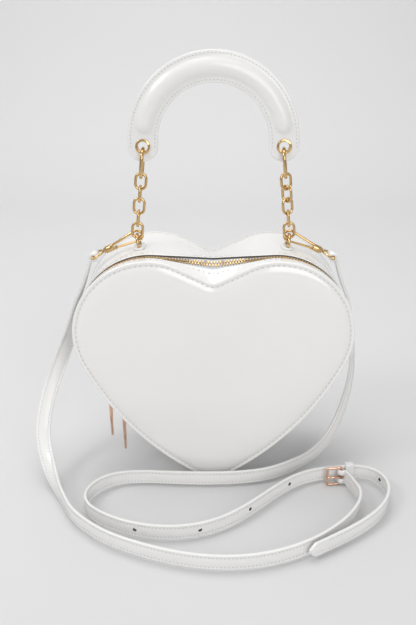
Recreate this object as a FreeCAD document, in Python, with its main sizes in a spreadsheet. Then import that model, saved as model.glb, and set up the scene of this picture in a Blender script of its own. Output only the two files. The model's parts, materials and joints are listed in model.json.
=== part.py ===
"""Heart-shaped purse on a padded handle: leather shell, zip, chains, snap hooks and shoulder strap.

Millimetres, +Z up, the front panel faces -Y. The origin is where a hand holds the handle:
the middle of the arch's underside.
"""
import math
import os

import FreeCAD
import Part
import Sketcher
from FreeCAD import Placement, Rotation, Vector

doc = FreeCAD.newDocument("HeartPurse")
sheet = doc.addObject("Spreadsheet::Sheet", "Sizes")

# Driving dimensions: lengths in millimetres, angles in degrees
SIZES = {
    # Heart outline
    "heart_width": 215.0,
    "heart_height": 187.0,
    "crest_spacing": 96.0,
    "lobe_inner_radius": 50.0,
    "side_radius": 230.0,
    "tip_radius": 30.0,
    "notch_radius": 8.0,
    "front_notch_angle": 26.0,
    "seam_notch_angle": 12.0,
    "lip_notch_angle": 3.0,
    "back_notch_angle": 25.0,
    # Bag shell
    "bag_depth": 84.0,
    "panel_leather": 1.6,
    "panel_board": 1.4,
    "lining_cloth": 0.6,
    "gusset_leather": 1.8,
    "panel_overhang": 1.0,
    "board_clearance": 0.3,
    "layer_gap": 0.1,
    "front_strip_depth": 12.5,
    # Zip
    "zip_slot": 9.0,
    "zip_end_height": 44.0,
    "seam_gap": 0.2,
    "tape_thickness": 0.8,
    "tape_overlap": 3.5,
    "teeth_width": 2.1,
    "teeth_height": 2.2,
    "slider_length": 9.0,
    "slider_width": 7.4,
    "slider_plate": 1.6,
    "slider_clearance": 0.5,
    "slider_pitch": 12.8,
    "slider_height": 64.0,
    "bail_radius": 2.4,
    "bail_wire": 1.2,
    "pull_length": 30.0,
    "pull_top_width": 3.0,
    "pull_tip_width": 1.7,
    "pull_thickness": 1.5,
    "pull_eye_radius": 1.9,
    "pull_eye_wire": 1.0,
    "pull_slack": 0.2,
    # Handle
    "arch_radius": 52.3,
    "band_width": 22.6,
    "leg_drop": 3.9,
    "band_leather": 1.5,
    "pad_width": 15.6,
    "pad_rise": 4.6,
    "pad_leather": 1.2,
    "pad_end_angle": 13.0,
    "eyelet_bore": 7.4,
    "eyelet_barrel": 0.8,
    "eyelet_flange": 11.0,
    "eyelet_lip": 0.8,
    # Chains
    "ring_width": 17.5,
    "ring_height": 24.0,
    "ring_wire": 2.7,
    "ring_lift": 0.75,
    "link_width": 10.0,
    "link_height": 14.1,
    "link_wire": 2.1,
    "link_gap": 0.35,
    # Anchors on the gusset
    "anchor_spacing": 118.4,
    "anchor_rise": 9.0,
    "anchor_radius": 6.0,
    "anchor_wire": 2.4,
    "tab_length": 17.0,
    "tab_width": 9.0,
    "tab_leather": 1.6,
    "tab_corner": 4.0,
    "tab_gap": 0.05,
    # Snap hooks
    "hook_offset": 3.0,
    "hook_slope": 25.0,
    "hook_wire": 2.0,
    "hook_bow": 4.2,
    "hook_slack": 1.0,
    "hook_sink": 0.8,
    "bow_end_angle": 250.0,
    "hook_reach": 21.0,
    "hook_neck": 1.5,
    "gate_wire": 1.8,
    "gate_gap": 0.75,
    "gate_hub": 2.8,
    "knob_place": 2.6,
    "knob_width": 2.2,
    "knob_height": 1.9,
    "barrel_width": 5.6,
    "barrel_length": 6.5,
    "collar_width": 4.2,
    "collar_length": 1.6,
    "eye_radius": 8.2,
    "eye_wire": 1.8,
    "eye_bar": 2.0,
    # Shoulder strap
    "strap_width": 12.0,
    "strap_thickness": 2.2,
    "strap_clearance": 0.3,
    "strap_hole": 3.0,
    # Buckle and keeper
    "buckle_height": 17.4,
    "buckle_length": 14.0,
    "buckle_wire": 2.0,
    "buckle_corner": 1.6,
    "prong_wire": 1.5,
    "prong_pin": 1.7,
    "prong_ring": 1.95,
    "prong_slot": 3.6,
    "keeper_length": 7.0,
    "keeper_leather": 1.2,
    # All cuts run past what they cut by this much
    "overrun": 2.0,
}

for row, (alias, value) in enumerate(SIZES.items(), start=1):
    sheet.set("A%d" % row, alias)
    sheet.set("B%d" % row, str(value))
    sheet.setAlias("B%d" % row, alias)
doc.recompute()


def size(alias):
    """The value of one cell of the sheet."""
    return float(getattr(sheet, alias))


def cell(alias):
    """The same cell, as an expression that a property follows."""
    return "Sizes." + alias


PARTS = []


def keep(obj, label):
    """Name a finished sub-part and put it on the list of those written out."""
    obj.Label = label
    PARTS.append(obj)
    return obj


def feature(label, shape, placement=None):
    """A sub-part whose shape is worked out here from the sheet's sizes."""
    obj = doc.addObject("Part::Feature", label)
    obj.Shape = shape
    obj.Placement = placement or Placement()
    return keep(obj, label)


def unit(vector):
    length = Vector(vector)
    length.normalize()
    return length


X_AXIS = Vector(1, 0, 0)
Y_AXIS = Vector(0, 1, 0)
Z_AXIS = Vector(0, 0, 1)
LEFT = -1
RIGHT = 1
SIDE_NAMES = {LEFT: "left", RIGHT: "right"}

# Chain line: from the ring's top in its eyelet to the anchor's top, the same in both chains
arch_centre_z = -(size("arch_radius") - size("band_width") / 2)
eyelet_z = arch_centre_z - size("leg_drop")
ring_top_z = eyelet_z - size("eyelet_bore") / 2 + size("ring_wire") / 2 + size("ring_lift")
ring_pitch = size("ring_height") - size("ring_wire")
link_pitch = size("link_height") - size("link_wire")
ring_to_link = (size("ring_wire") + size("link_wire")) / 2 + size("link_gap")
link_to_link = size("link_wire") + size("link_gap")
link_to_anchor = (size("link_wire") + size("anchor_wire")) / 2 + size("link_gap")
LINK_COUNT = 5
chain_length = (ring_pitch - ring_to_link + LINK_COUNT * link_pitch
                - (LINK_COUNT - 1) * link_to_link - link_to_anchor)
anchor_x = size("anchor_spacing") / 2
chain_slant = math.asin((anchor_x - size("arch_radius")) / chain_length)
anchor_top_z = ring_top_z - chain_length * math.cos(chain_slant)

# The lobes hang below the anchors: each anchor stands square on its lobe
lobe_radius = (size("heart_width") - size("crest_spacing")) / 2
crest_x = size("crest_spacing") / 2
gusset_radius = lobe_radius - size("panel_overhang")
anchor_stand = size("tab_gap") + size("tab_leather") + size("anchor_rise")
anchor_tilt = math.asin((anchor_x - crest_x) / (gusset_radius + anchor_stand))
lobe_centre_z = anchor_top_z - (gusset_radius + anchor_stand) * math.cos(anchor_tilt)
crest_z = lobe_centre_z + lobe_radius
tip_z = crest_z - size("heart_height")
front_y = -size("bag_depth") / 2
back_y = size("bag_depth") / 2
slot_front_y = front_y + size("front_strip_depth")
slot_back_y = slot_front_y + size("zip_slot")
zip_y = (slot_front_y + slot_back_y) / 2
zip_end_z = tip_z + size("zip_end_height")


# Heart outline: arcs and two short lines, all offset alike for an inset
def heart_points(inset, notch_angle):
    """Corner and mid points of the right half, from the notch down to the tip."""
    slope = math.radians(notch_angle)
    inner_radius = size("lobe_inner_radius") - inset
    outer_radius = lobe_radius - inset
    side_radius = size("side_radius") - inset
    tip_radius = size("tip_radius") - inset
    inner = Vector(crest_x, 0, crest_z - size("lobe_inner_radius"))
    outer = Vector(crest_x, 0, lobe_centre_z)
    tip = Vector(0, 0, tip_z + size("tip_radius"))
    # The side's centre is as far from each neighbour's centre as their radii differ
    reach_lobe = size("side_radius") - lobe_radius
    reach_tip = size("side_radius") - size("tip_radius")
    span = outer - tip
    along = (reach_tip ** 2 - reach_lobe ** 2 + span.Length ** 2) / (2 * span.Length)
    across = math.sqrt(reach_tip ** 2 - along ** 2)
    heading = unit(span)
    side = tip + heading * along + Vector(-heading.z, 0, heading.x) * across
    out = Vector(-math.sin(slope), 0, math.cos(slope))
    notch_z = (out.dot(inner) + size("lobe_inner_radius") + size("notch_radius")) / math.cos(slope)
    notch = Vector(0, 0, notch_z)
    notch_radius = size("notch_radius") + inset
    half = Vector(-math.sin(slope / 2), 0, math.cos(slope / 2))
    to_lobe = unit(outer - side)
    to_tip = unit(tip - side)
    turn = unit(X_AXIS + Z_AXIS)
    return {
        "notch_bottom": notch - Z_AXIS * notch_radius,
        "notch_end": notch - out * notch_radius,
        "slope_end": inner + out * inner_radius,
        "inner_mid": inner + half * inner_radius,
        "crest": outer + Z_AXIS * outer_radius,
        "lobe_mid": outer + turn * outer_radius,
        "lobe_end": outer + to_lobe * outer_radius,
        "side_mid": side + unit(to_lobe + to_tip) * side_radius,
        "side_end": side + to_tip * side_radius,
        "tip_bottom": tip - Z_AXIS * tip_radius,
    }


def heart_wire(y, inset, notch_angle):
    """The closed heart in the plane at y."""
    right = {name: p + Y_AXIS * y for name, p in heart_points(inset, notch_angle).items()}
    left = {name: Vector(-p.x, p.y, p.z) for name, p in right.items()}

    def half(side):
        return [
            Part.LineSegment(side["notch_end"], side["slope_end"]),
            Part.Arc(side["slope_end"], side["inner_mid"], side["crest"]),
            Part.Arc(side["crest"], side["lobe_mid"], side["lobe_end"]),
            Part.Arc(side["lobe_end"], side["side_mid"], side["side_end"]),
        ]

    notch = Part.Arc(left["notch_end"], left["notch_bottom"], right["notch_end"])
    tip = Part.Arc(right["side_end"], right["tip_bottom"], left["side_end"])
    curves = [notch] + half(right) + [tip]
    edges = [curve.toShape() for curve in curves]
    edges += [curve.toShape() for curve in reversed(half(left))]
    return Part.Wire(Part.__sortEdges__(edges))


def heart_plate(y_front, y_back, inset, notch_angle):
    """A flat heart between two depths."""
    face = Part.Face(heart_wire(y_front, inset, notch_angle))
    return face.extrude(Y_AXIS * (y_back - y_front))


def heart_band(hearts, outer_inset, inner_inset):
    """A wall that runs from heart to heart, each given as y and notch angle."""
    walls = []
    for inset in (outer_inset, inner_inset):
        rings = [heart_wire(y, inset, angle) for y, angle in hearts]
        walls.append(Part.makeLoft(rings, True, True))
    return walls[0].cut(walls[1])


def slab(y_front, y_back, z_low):
    """A block as wide as the bag, from z_low to above the crests, that keeps or cuts a stretch."""
    width = size("heart_width") + 2 * size("overrun")
    tall = crest_z + size("overrun") - z_low
    corner = Vector(-width / 2, y_front, z_low)
    return Part.makeBox(width, y_back - y_front, tall, corner)


front_face = (front_y + size("panel_leather"), size("front_notch_angle"))
front_seam = (slot_front_y, size("seam_notch_angle"))
low_seam = (slot_front_y + size("seam_gap"), size("lip_notch_angle"))
rear_lip = (slot_back_y, size("lip_notch_angle"))
back_face = (back_y - size("panel_leather"), size("back_notch_angle"))
gusset_in = size("panel_overhang") + size("gusset_leather")
lining_in = gusset_in + size("layer_gap")
board_in = gusset_in + size("board_clearance")
tape_in = lining_in + size("tape_thickness")
teeth_out = (lining_in + tape_in - size("teeth_height")) / 2
teeth_in = teeth_out + size("teeth_height")
tape_back_y = slot_back_y + size("tape_overlap")
tape_front_y = slot_front_y - size("tape_overlap")
zip_front_y = zip_y - size("seam_gap") / 2
zip_back_y = zip_y + size("seam_gap") / 2


def make_panels():
    """Front and back: leather outside, stiff board, cloth lining inside."""
    board = size("panel_board")
    cloth = size("lining_cloth")
    for name, outer_y, inward, angle in (
            ("front", front_y, 1, size("front_notch_angle")),
            ("back", back_y, -1, size("back_notch_angle"))):
        board_y = outer_y + inward * size("panel_leather")
        lining_y = board_y + inward * board
        feature(name + "_panel", heart_plate(outer_y, board_y, 0, angle))
        feature(name + "_board", heart_plate(board_y, lining_y, board_in, angle))
        feature(name + "_lining", heart_plate(lining_y, lining_y + inward * cloth, board_in, angle))


def make_gussets():
    """The wall round the heart, split by the zip into a narrow front strip and a deep rear one."""
    strip = heart_band((front_face, front_seam), size("panel_overhang"), gusset_in)
    feature("front_gusset", strip)
    wall = heart_band((low_seam, rear_lip, back_face), size("panel_overhang"), gusset_in)
    feature("rear_gusset", wall.cut(slab(slot_front_y, slot_back_y, zip_end_z)))
    cloth = heart_band((rear_lip, back_face), lining_in, lining_in + size("lining_cloth"))
    lining_back_y = back_y - size("panel_leather") - size("panel_board") - size("lining_cloth")
    kept = slab(tape_back_y + size("layer_gap"), lining_back_y - size("layer_gap"), tip_z)
    feature("gusset_lining", cloth.common(kept))


def make_zip():
    """Two tapes with a row of teeth on each, from the lower left over both lobes to the lower right."""
    above = zip_end_z + size("seam_gap")
    hearts = (front_face, front_seam, rear_lip, back_face)
    tape = heart_band(hearts, lining_in, tape_in)
    feature("front_zip_tape", tape.common(slab(tape_front_y, zip_front_y, above)))
    feature("rear_zip_tape", tape.common(slab(zip_back_y, tape_back_y, above)))
    teeth = heart_band(hearts, teeth_out, lining_in).fuse(heart_band(hearts, tape_in, teeth_in))
    width = size("teeth_width")
    feature("front_zip_teeth", teeth.common(slab(zip_front_y - width, zip_front_y, above)))
    feature("rear_zip_teeth", teeth.common(slab(zip_back_y, zip_back_y + width, above)))


def side_frame(height):
    """Point and outward direction on the left gusset, at a height above the tip."""
    outline = heart_wire(zip_y, size("panel_overhang"), size("lip_notch_angle"))
    level = Vector(0, zip_y, tip_z + height)
    probe = Part.LineSegment(level - X_AXIS * size("heart_width"), level).toShape()
    distance, pairs, details = outline.distToShape(probe)
    kind, index, parameter = details[0][:3]
    along = outline.Edges[index].tangentAt(parameter)
    out = unit(along.cross(Y_AXIS))
    return pairs[0][0], -out if out.x > 0 else out


def bind(obj, **cells):
    """Tie an object's properties to expressions on the sheet."""
    for prop, expression in cells.items():
        obj.setExpression(prop, expression)
    return obj


def make_sliders():
    """Two sliders parked head to head on the lower left, each with a slim tapered pull."""
    drop = size("slider_pitch")
    names = ("upper", "lower")
    for index, name in enumerate(names):
        point, out = side_frame(size("slider_height") - drop * index)
        seat = Placement(point, Rotation(Y_AXIS.cross(out), Y_AXIS, out, "ZYX"))
        plate = bind(doc.addObject("Part::Box", "slider_plate_" + name),
                     Length=cell("slider_length"), Width=cell("slider_width"),
                     Height=cell("slider_plate"))
        bind(plate, **{
            ".Placement.Base.x": "-Sizes.slider_length / 2",
            ".Placement.Base.y": "-Sizes.slider_width / 2",
            ".Placement.Base.z": cell("slider_clearance"),
        })
        bail = bind(doc.addObject("Part::Torus", "slider_bail_" + name),
                    Radius1=cell("bail_radius"), Radius2="Sizes.bail_wire / 2")
        bail.Angle3 = 180
        bail.Placement = Placement(Vector(), Rotation(X_AXIS, 90))
        bind(bail, **{".Placement.Base.z": "Sizes.slider_clearance + Sizes.slider_plate"})
        slider = doc.addObject("Part::MultiFuse", "zip_slider_" + name)
        slider.Shapes = [plate, bail]
        slider.Placement = seat
        keep(slider, "zip_slider_" + name)
        make_pull(name, point, out)


def make_pull(name, point, out):
    """A pull whose eye hangs square on the bail, with its bar straight down."""
    top = point + out * (size("slider_clearance") + size("slider_plate") + size("bail_radius"))
    reach = size("pull_eye_radius")
    hang = reach - (size("bail_wire") + size("pull_eye_wire")) / 2 - size("pull_slack")
    along = Vector(out.z, 0, -out.x)
    eye = bind(doc.addObject("Part::Torus", "pull_eye_" + name),
               Radius1=cell("pull_eye_radius"), Radius2="Sizes.pull_eye_wire / 2")
    eye.Placement = Placement(Vector(), Rotation(Z_AXIS, along))
    start = out * reach
    ends = []
    for width, drop in (("pull_top_width", 0), ("pull_tip_width", size("pull_length"))):
        half = X_AXIS * (size(width) / 2)
        deep = Y_AXIS * (size("pull_thickness") / 2)
        middle = start - Z_AXIS * drop
        corners = [middle - half - deep, middle + half - deep, middle + half + deep, middle - half + deep]
        ends.append(Part.makePolygon(corners + corners[:1]))
    bar = doc.addObject("Part::Feature", "pull_bar_" + name)
    bar.Shape = Part.makeLoft(ends, True, True)
    pull = doc.addObject("Part::MultiFuse", "zip_pull_" + name)
    pull.Shapes = [eye, bar]
    pull.Placement = Placement(top + out * hang, Rotation())
    keep(pull, "zip_pull_" + name)


# Round wire bent along straight runs and arcs
def rod(edges, radius):
    """A round rod along edges that follow each other smoothly."""
    path = Part.Wire(edges)
    first = edges[0]
    start = first.valueAt(first.FirstParameter)
    heading = first.tangentAt(first.FirstParameter)
    disc = Part.Face(Part.Wire(Part.makeCircle(radius, start, heading)))
    return path.makePipe(disc)


def line(start, end):
    return Part.LineSegment(start, end).toShape()


def arc(start, middle, end):
    return Part.Arc(start, middle, end).toShape()


def make_handle():
    """A flat arch of two leathers with a padded crown, and a grommet in each leg."""
    radius = size("arch_radius")
    half = size("band_width") / 2
    outer = radius + half
    inner = radius - half
    spring = Vector(0, 0, arch_centre_z)
    leg = Vector(0, 0, eyelet_z)
    edges = [
        arc(spring - X_AXIS * outer, spring + Z_AXIS * outer, spring + X_AXIS * outer),
        line(spring + X_AXIS * outer, leg + X_AXIS * outer),
        arc(leg + X_AXIS * outer, leg + X_AXIS * radius - Z_AXIS * half, leg + X_AXIS * inner),
        line(leg + X_AXIS * inner, spring + X_AXIS * inner),
        arc(spring + X_AXIS * inner, spring + Z_AXIS * inner, spring - X_AXIS * inner),
        line(spring - X_AXIS * inner, leg - X_AXIS * inner),
        arc(leg - X_AXIS * inner, leg - X_AXIS * radius - Z_AXIS * half, leg - X_AXIS * outer),
        line(leg - X_AXIS * outer, spring - X_AXIS * outer),
    ]
    flat = Part.Face(Part.Wire(edges))
    hole_radius = size("eyelet_bore") / 2 + size("eyelet_barrel")
    padding = pad_lens(size("pad_width") / 2 - size("pad_leather"), size("pad_rise") - size("pad_leather"))
    crown = pad_lens(size("pad_width") / 2, size("pad_rise"))
    for name, inward in (("front", 1), ("back", -1)):
        depth = Y_AXIS * (-inward * size("band_leather"))
        shape = flat.extrude(depth)
        half_space = Part.makeBox(4 * outer, 2 * outer, 4 * outer, Vector(-2 * outer, 0, -2 * outer))
        if inward > 0:
            half_space.translate(Y_AXIS * (-2 * outer))
        shape = shape.fuse(crown.common(half_space)).cut(padding)
        for side in (LEFT, RIGHT):
            centre = leg + X_AXIS * (side * radius) - Y_AXIS * (2 * size("band_leather"))
            shape = shape.cut(Part.makeCylinder(hole_radius, 4 * size("band_leather"), centre, Y_AXIS))
        feature("handle_%s_leather" % name, shape.removeSplitter())
    feature("handle_padding", padding)
    for side in (LEFT, RIGHT):
        make_eyelet(side)


def pad_lens(half_width, rise):
    """A lens-shaped ring that follows the arch and ends in two domes."""
    radius = size("arch_radius")
    end = math.radians(size("pad_end_angle"))
    centre = Vector(0, 0, arch_centre_z)
    start = centre + X_AXIS * (radius * math.cos(end)) + Z_AXIS * (radius * math.sin(end))
    out = unit(start - centre)
    lens = [
        arc(start - out * half_width, start - Y_AXIS * rise, start + out * half_width),
        arc(start + out * half_width, start + Y_AXIS * rise, start - out * half_width),
    ]
    sweep = 180 - 2 * size("pad_end_angle")
    ring = Part.Face(Part.Wire(lens)).revolve(centre, -Y_AXIS, sweep)
    half_lens = [
        arc(start - Y_AXIS * rise, *lens_flank(start, out, half_width, rise, -1)),
        arc(*reversed(lens_flank(start, out, half_width, rise, 1)), start + Y_AXIS * rise),
        line(start + Y_AXIS * rise, start - Y_AXIS * rise),
    ]
    dome = Part.Face(Part.Wire(half_lens)).revolve(start, Y_AXIS, 180)
    mirrored = dome.mirror(Vector(), X_AXIS)
    return ring.fuse([dome, mirrored]).removeSplitter()


def lens_flank(start, out, half_width, rise, facing):
    """Middle and end of one quarter of the lens, from its thick middle to its outer edge."""
    bulge = (half_width ** 2 + rise ** 2) / (2 * rise)
    centre = start + Y_AXIS * (facing * (rise - bulge))
    edge = start + out * half_width
    top = start + Y_AXIS * (facing * rise)
    middle = centre + unit((edge - centre) + (top - centre)) * bulge
    return middle, edge


def make_eyelet(side):
    """A grommet: barrel through the leg and a lip on each face."""
    name = "eyelet_" + SIDE_NAMES[side]
    deep = "2 * Sizes.band_leather"
    barrel = bind(doc.addObject("Part::Cylinder", name + "_barrel"),
                  Radius="Sizes.eyelet_bore / 2 + Sizes.eyelet_barrel", Height=deep)
    bind(barrel, **{".Placement.Base.z": "-Sizes.band_leather"})
    solids = [barrel]
    for face, base in (("front", "Sizes.band_leather"), ("back", "-Sizes.band_leather - Sizes.eyelet_lip")):
        lip = bind(doc.addObject("Part::Cylinder", name + "_lip_" + face),
                   Radius="Sizes.eyelet_flange / 2", Height=cell("eyelet_lip"))
        bind(lip, **{".Placement.Base.z": base})
        solids.append(lip)
    body = doc.addObject("Part::MultiFuse", name + "_solid")
    body.Shapes = solids
    bore = bind(doc.addObject("Part::Cylinder", name + "_bore"), Radius="Sizes.eyelet_bore / 2",
                Height="2 * (Sizes.band_leather + Sizes.eyelet_lip + Sizes.overrun)")
    bind(bore, **{".Placement.Base.z": "-Sizes.band_leather - Sizes.eyelet_lip - Sizes.overrun"})
    eyelet = doc.addObject("Part::Cut", name)
    eyelet.Base = body
    eyelet.Tool = bore
    eyelet.Placement = Placement(Vector(side * size("arch_radius"), 0, eyelet_z), Rotation(X_AXIS, 90))
    keep(eyelet, name)


# Turn of each link about the chain's line: 0 is seen face on, 90 edge on
TWISTS = {
    LEFT: [90.0, 0.0, 90.0, 0.0, 90.0, 0.0],
    RIGHT: [84.0, 22.0, -42.0, 25.0, 88.0, 0.0],
}


def chain_place(side, along, twist):
    """Where a point of the chain lies, and how a link there is turned."""
    x = side * (size("arch_radius") + along * math.sin(chain_slant))
    z = ring_top_z - along * math.cos(chain_slant)
    lean = Rotation(Y_AXIS, -side * math.degrees(chain_slant))
    return Placement(Vector(x, 0, z), lean.multiply(Rotation(Z_AXIS, twist)))


def make_link(label, width, height, wire, placement):
    """An oval link: two half rings and two straight sides."""
    bow = "(Sizes.%s - Sizes.%s) / 2" % (width, wire)
    half = "(Sizes.%s - Sizes.%s) / 2" % (height, width)
    solids = []
    for end, turn, sign in (("top", 90, ""), ("bottom", -90, "-")):
        ring = bind(doc.addObject("Part::Torus", label + "_" + end),
                    Radius1=bow, Radius2="Sizes.%s / 2" % wire)
        ring.Angle3 = 180
        ring.Placement = Placement(Vector(), Rotation(X_AXIS, turn))
        bind(ring, **{".Placement.Base.z": sign + half})
        solids.append(ring)
    for flank, sign in (("near", ""), ("far", "-")):
        bar = bind(doc.addObject("Part::Cylinder", label + "_" + flank),
                   Radius="Sizes.%s / 2" % wire, Height="Sizes.%s - Sizes.%s" % (height, width))
        bind(bar, **{".Placement.Base.x": sign + bow, ".Placement.Base.z": "-" + half})
        solids.append(bar)
    link = doc.addObject("Part::MultiFuse", label)
    link.Shapes = solids
    link.Placement = placement
    keep(link, label)


def make_chains():
    """On each side a large ring in the eyelet and five links down to the anchor."""
    for side in (LEFT, RIGHT):
        name = SIDE_NAMES[side]
        middle = ring_pitch / 2
        make_link("chain_ring_" + name, "ring_width", "ring_height", "ring_wire",
                  chain_place(side, middle, TWISTS[side][0]))
        top = ring_pitch - ring_to_link
        for number in range(1, LINK_COUNT + 1):
            make_link("chain_link_%s_%d" % (name, number), "link_width", "link_height", "link_wire",
                      chain_place(side, top + link_pitch / 2, TWISTS[side][number]))
            top += link_pitch - link_to_link


def anchor_frame(side):
    """Top of the anchor's wire and the direction that the anchor stands in."""
    out = Vector(side * math.sin(anchor_tilt), 0, math.cos(anchor_tilt))
    return Vector(side * anchor_x, 0, anchor_top_z), out


def make_anchors():
    """On each lobe a leather tab and a wire arch that the chain and the hook hold on to."""
    for side in (LEFT, RIGHT):
        name = SIDE_NAMES[side]
        top, out = anchor_frame(side)
        foot = top - out * size("anchor_rise")
        across = Y_AXIS
        reach = size("anchor_radius")
        crown = top - out * reach
        edges = [
            line(foot - across * reach, crown - across * reach),
            arc(crown - across * reach, top, crown + across * reach),
            line(crown + across * reach, foot + across * reach),
        ]
        feature("anchor_" + name, rod(edges, size("anchor_wire") / 2))
        make_tab(name, foot, out, across)


def make_tab(name, foot, out, across):
    """A rounded leather patch under the anchor's feet."""
    body = doc.addObject("PartDesign::Body", "anchor_tab_" + name)
    plane = [p for p in body.Origin.OriginFeatures if p.Role == "XY_Plane"][0]
    sketch = body.newObject("Sketcher::SketchObject", "tab_outline_" + name)
    sketch.AttachmentSupport = (plane, [""])
    sketch.MapMode = "FlatFace"
    half_x = size("tab_length") / 2
    half_y = size("tab_width") / 2
    corners = [Vector(-half_x, -half_y), Vector(half_x, -half_y), Vector(half_x, half_y), Vector(-half_x, half_y)]
    for index in range(4):
        sketch.addGeometry(Part.LineSegment(corners[index], corners[(index + 1) % 4]))
    for index in range(4):
        sketch.addConstraint(Sketcher.Constraint("Coincident", index, 2, (index + 1) % 4, 1))
    for index, kind in enumerate(("Horizontal", "Vertical", "Horizontal", "Vertical")):
        sketch.addConstraint(Sketcher.Constraint(kind, index))
    sketch.addConstraint(Sketcher.Constraint("Symmetric", 0, 1, 2, 1, -1, 1))
    length = sketch.addConstraint(Sketcher.Constraint("DistanceX", 0, 1, 0, 2, size("tab_length")))
    width = sketch.addConstraint(Sketcher.Constraint("DistanceY", 1, 1, 1, 2, size("tab_width")))
    sketch.setExpression("Constraints[%d]" % length, cell("tab_length"))
    sketch.setExpression("Constraints[%d]" % width, cell("tab_width"))
    pad = body.newObject("PartDesign::Pad", "tab_leather_" + name)
    pad.Profile = sketch
    pad.setExpression("Length", cell("tab_leather"))
    doc.recompute()
    upright = ["Edge%d" % (i + 1) for i, edge in enumerate(pad.Shape.Edges)
               if abs(edge.tangentAt(edge.FirstParameter).z) > 0.9]
    fillet = body.newObject("PartDesign::Fillet", "tab_corners_" + name)
    fillet.Base = (pad, upright)
    fillet.setExpression("Radius", cell("tab_corner"))
    body.Tip = fillet
    base = foot - out * size("tab_leather")
    body.Placement = Placement(base, Rotation(across, out.cross(across), out, "ZXY"))
    keep(body, "anchor_tab_" + name)


def hook_frame(side):
    """Middle of the hook's bow, its axis towards the strap, its flat's upper side and its thickness."""
    top, out = anchor_frame(side)
    slope = math.radians(size("hook_slope"))
    axis = Vector(side * math.cos(slope), 0, -math.sin(slope))
    # The hook stands on edge and holds the arch beside its top
    drop = size("anchor_radius") - math.sqrt(size("anchor_radius") ** 2 - size("hook_offset") ** 2)
    held = top - out * drop + Y_AXIS * size("hook_offset")
    upper = Vector(side * math.sin(slope), 0, math.cos(slope))
    bow = held + axis * size("hook_slack") - upper * size("hook_sink")
    return bow, axis, upper


def make_hooks():
    """Swivel snap hooks: a bent bow on a barrel, a sprung gate and an eye for the strap."""
    bow_radius = size("hook_bow")
    reach = size("hook_reach")
    neck = size("hook_neck")
    for side in (LEFT, RIGHT):
        name = SIDE_NAMES[side]
        bow, axis, upper = hook_frame(side)

        def at(along, across):
            return bow + axis * along + upper * across

        def on_bow(degrees):
            angle = math.radians(degrees)
            return at(bow_radius * math.cos(angle), bow_radius * math.sin(angle))

        start = at(reach + size("collar_length"), neck)
        distance = math.hypot(reach + size("collar_length"), neck)
        first = math.degrees(math.atan2(neck, reach) + math.acos(bow_radius / distance))
        last = size("bow_end_angle")
        wire = rod([line(start, on_bow(first)), arc(on_bow(first), on_bow((first + last) / 2), on_bow(last))],
                   size("hook_wire") / 2)
        barrel = Part.makeCylinder(size("barrel_width") / 2, size("barrel_length"), at(reach, 0), axis)
        collar = Part.makeCylinder(size("collar_width") / 2, size("collar_length"),
                                   at(reach + size("barrel_length"), 0), axis)
        feature("snap_hook_" + name, wire.fuse([barrel, collar]).removeSplitter())
        make_gate(name, bow, axis, upper)
        make_eye(name, at(reach + size("barrel_length") + size("collar_length"), 0), axis)


def gate_ends(bow, axis, upper):
    """Tip and pivot of a hook's gate."""
    angle = math.radians(size("bow_end_angle"))
    heading = upper * math.cos(angle) - axis * math.sin(angle)
    bow_end = bow + (axis * math.cos(angle) + upper * math.sin(angle)) * size("hook_bow")
    tip = bow_end + heading * size("gate_gap")
    pivot = bow + axis * (size("hook_reach") - size("gate_wire")) - upper * size("hook_neck")
    return tip, pivot


def make_gate(name, bow, axis, upper):
    """The sprung bar that closes the bow, with a thumb knob by its tip."""
    tip, pivot = gate_ends(bow, axis, upper)
    heading = unit(pivot - tip)
    bar = Part.makeCylinder(size("gate_wire") / 2, (pivot - tip).Length, tip, heading)
    pin = unit(axis.cross(upper))
    hub = Part.makeCylinder(size("gate_hub") / 2, size("gate_hub"), pivot - pin * (size("gate_hub") / 2), pin)
    knob = tip + heading * size("knob_place")
    down = unit(heading.cross(axis.cross(upper)))
    if down.dot(upper) > 0:
        down = -down
    stud = Part.makeCylinder(size("knob_width") / 2, size("knob_height"), knob, down)
    feature("hook_gate_" + name, bar.fuse([hub, stud]).removeSplitter())


def make_eye(name, start, axis):
    """A D-shaped eye on the barrel's end, with its bar across the strap."""
    radius = size("eye_radius")
    centre = start + axis * (radius + size("eye_wire") / 2)
    edges = [
        arc(centre + Y_AXIS * radius, centre - axis * radius, centre - Y_AXIS * radius),
    ]
    bow = rod(edges, size("eye_wire") / 2)
    bar = Part.makeCylinder(size("eye_bar") / 2, 2 * radius + size("eye_bar"),
                            centre - Y_AXIS * (radius + size("eye_bar") / 2), Y_AXIS)
    feature("swivel_eye_" + name, bow.fuse(bar).removeSplitter())


def eye_bar(side):
    """Middle of the bar that the strap's end is folded round."""
    bow, axis, upper = hook_frame(side)
    along = (size("hook_reach") + size("barrel_length") + size("collar_length")
             + size("eye_radius") + size("eye_wire") / 2)
    return bow + axis * along


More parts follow.
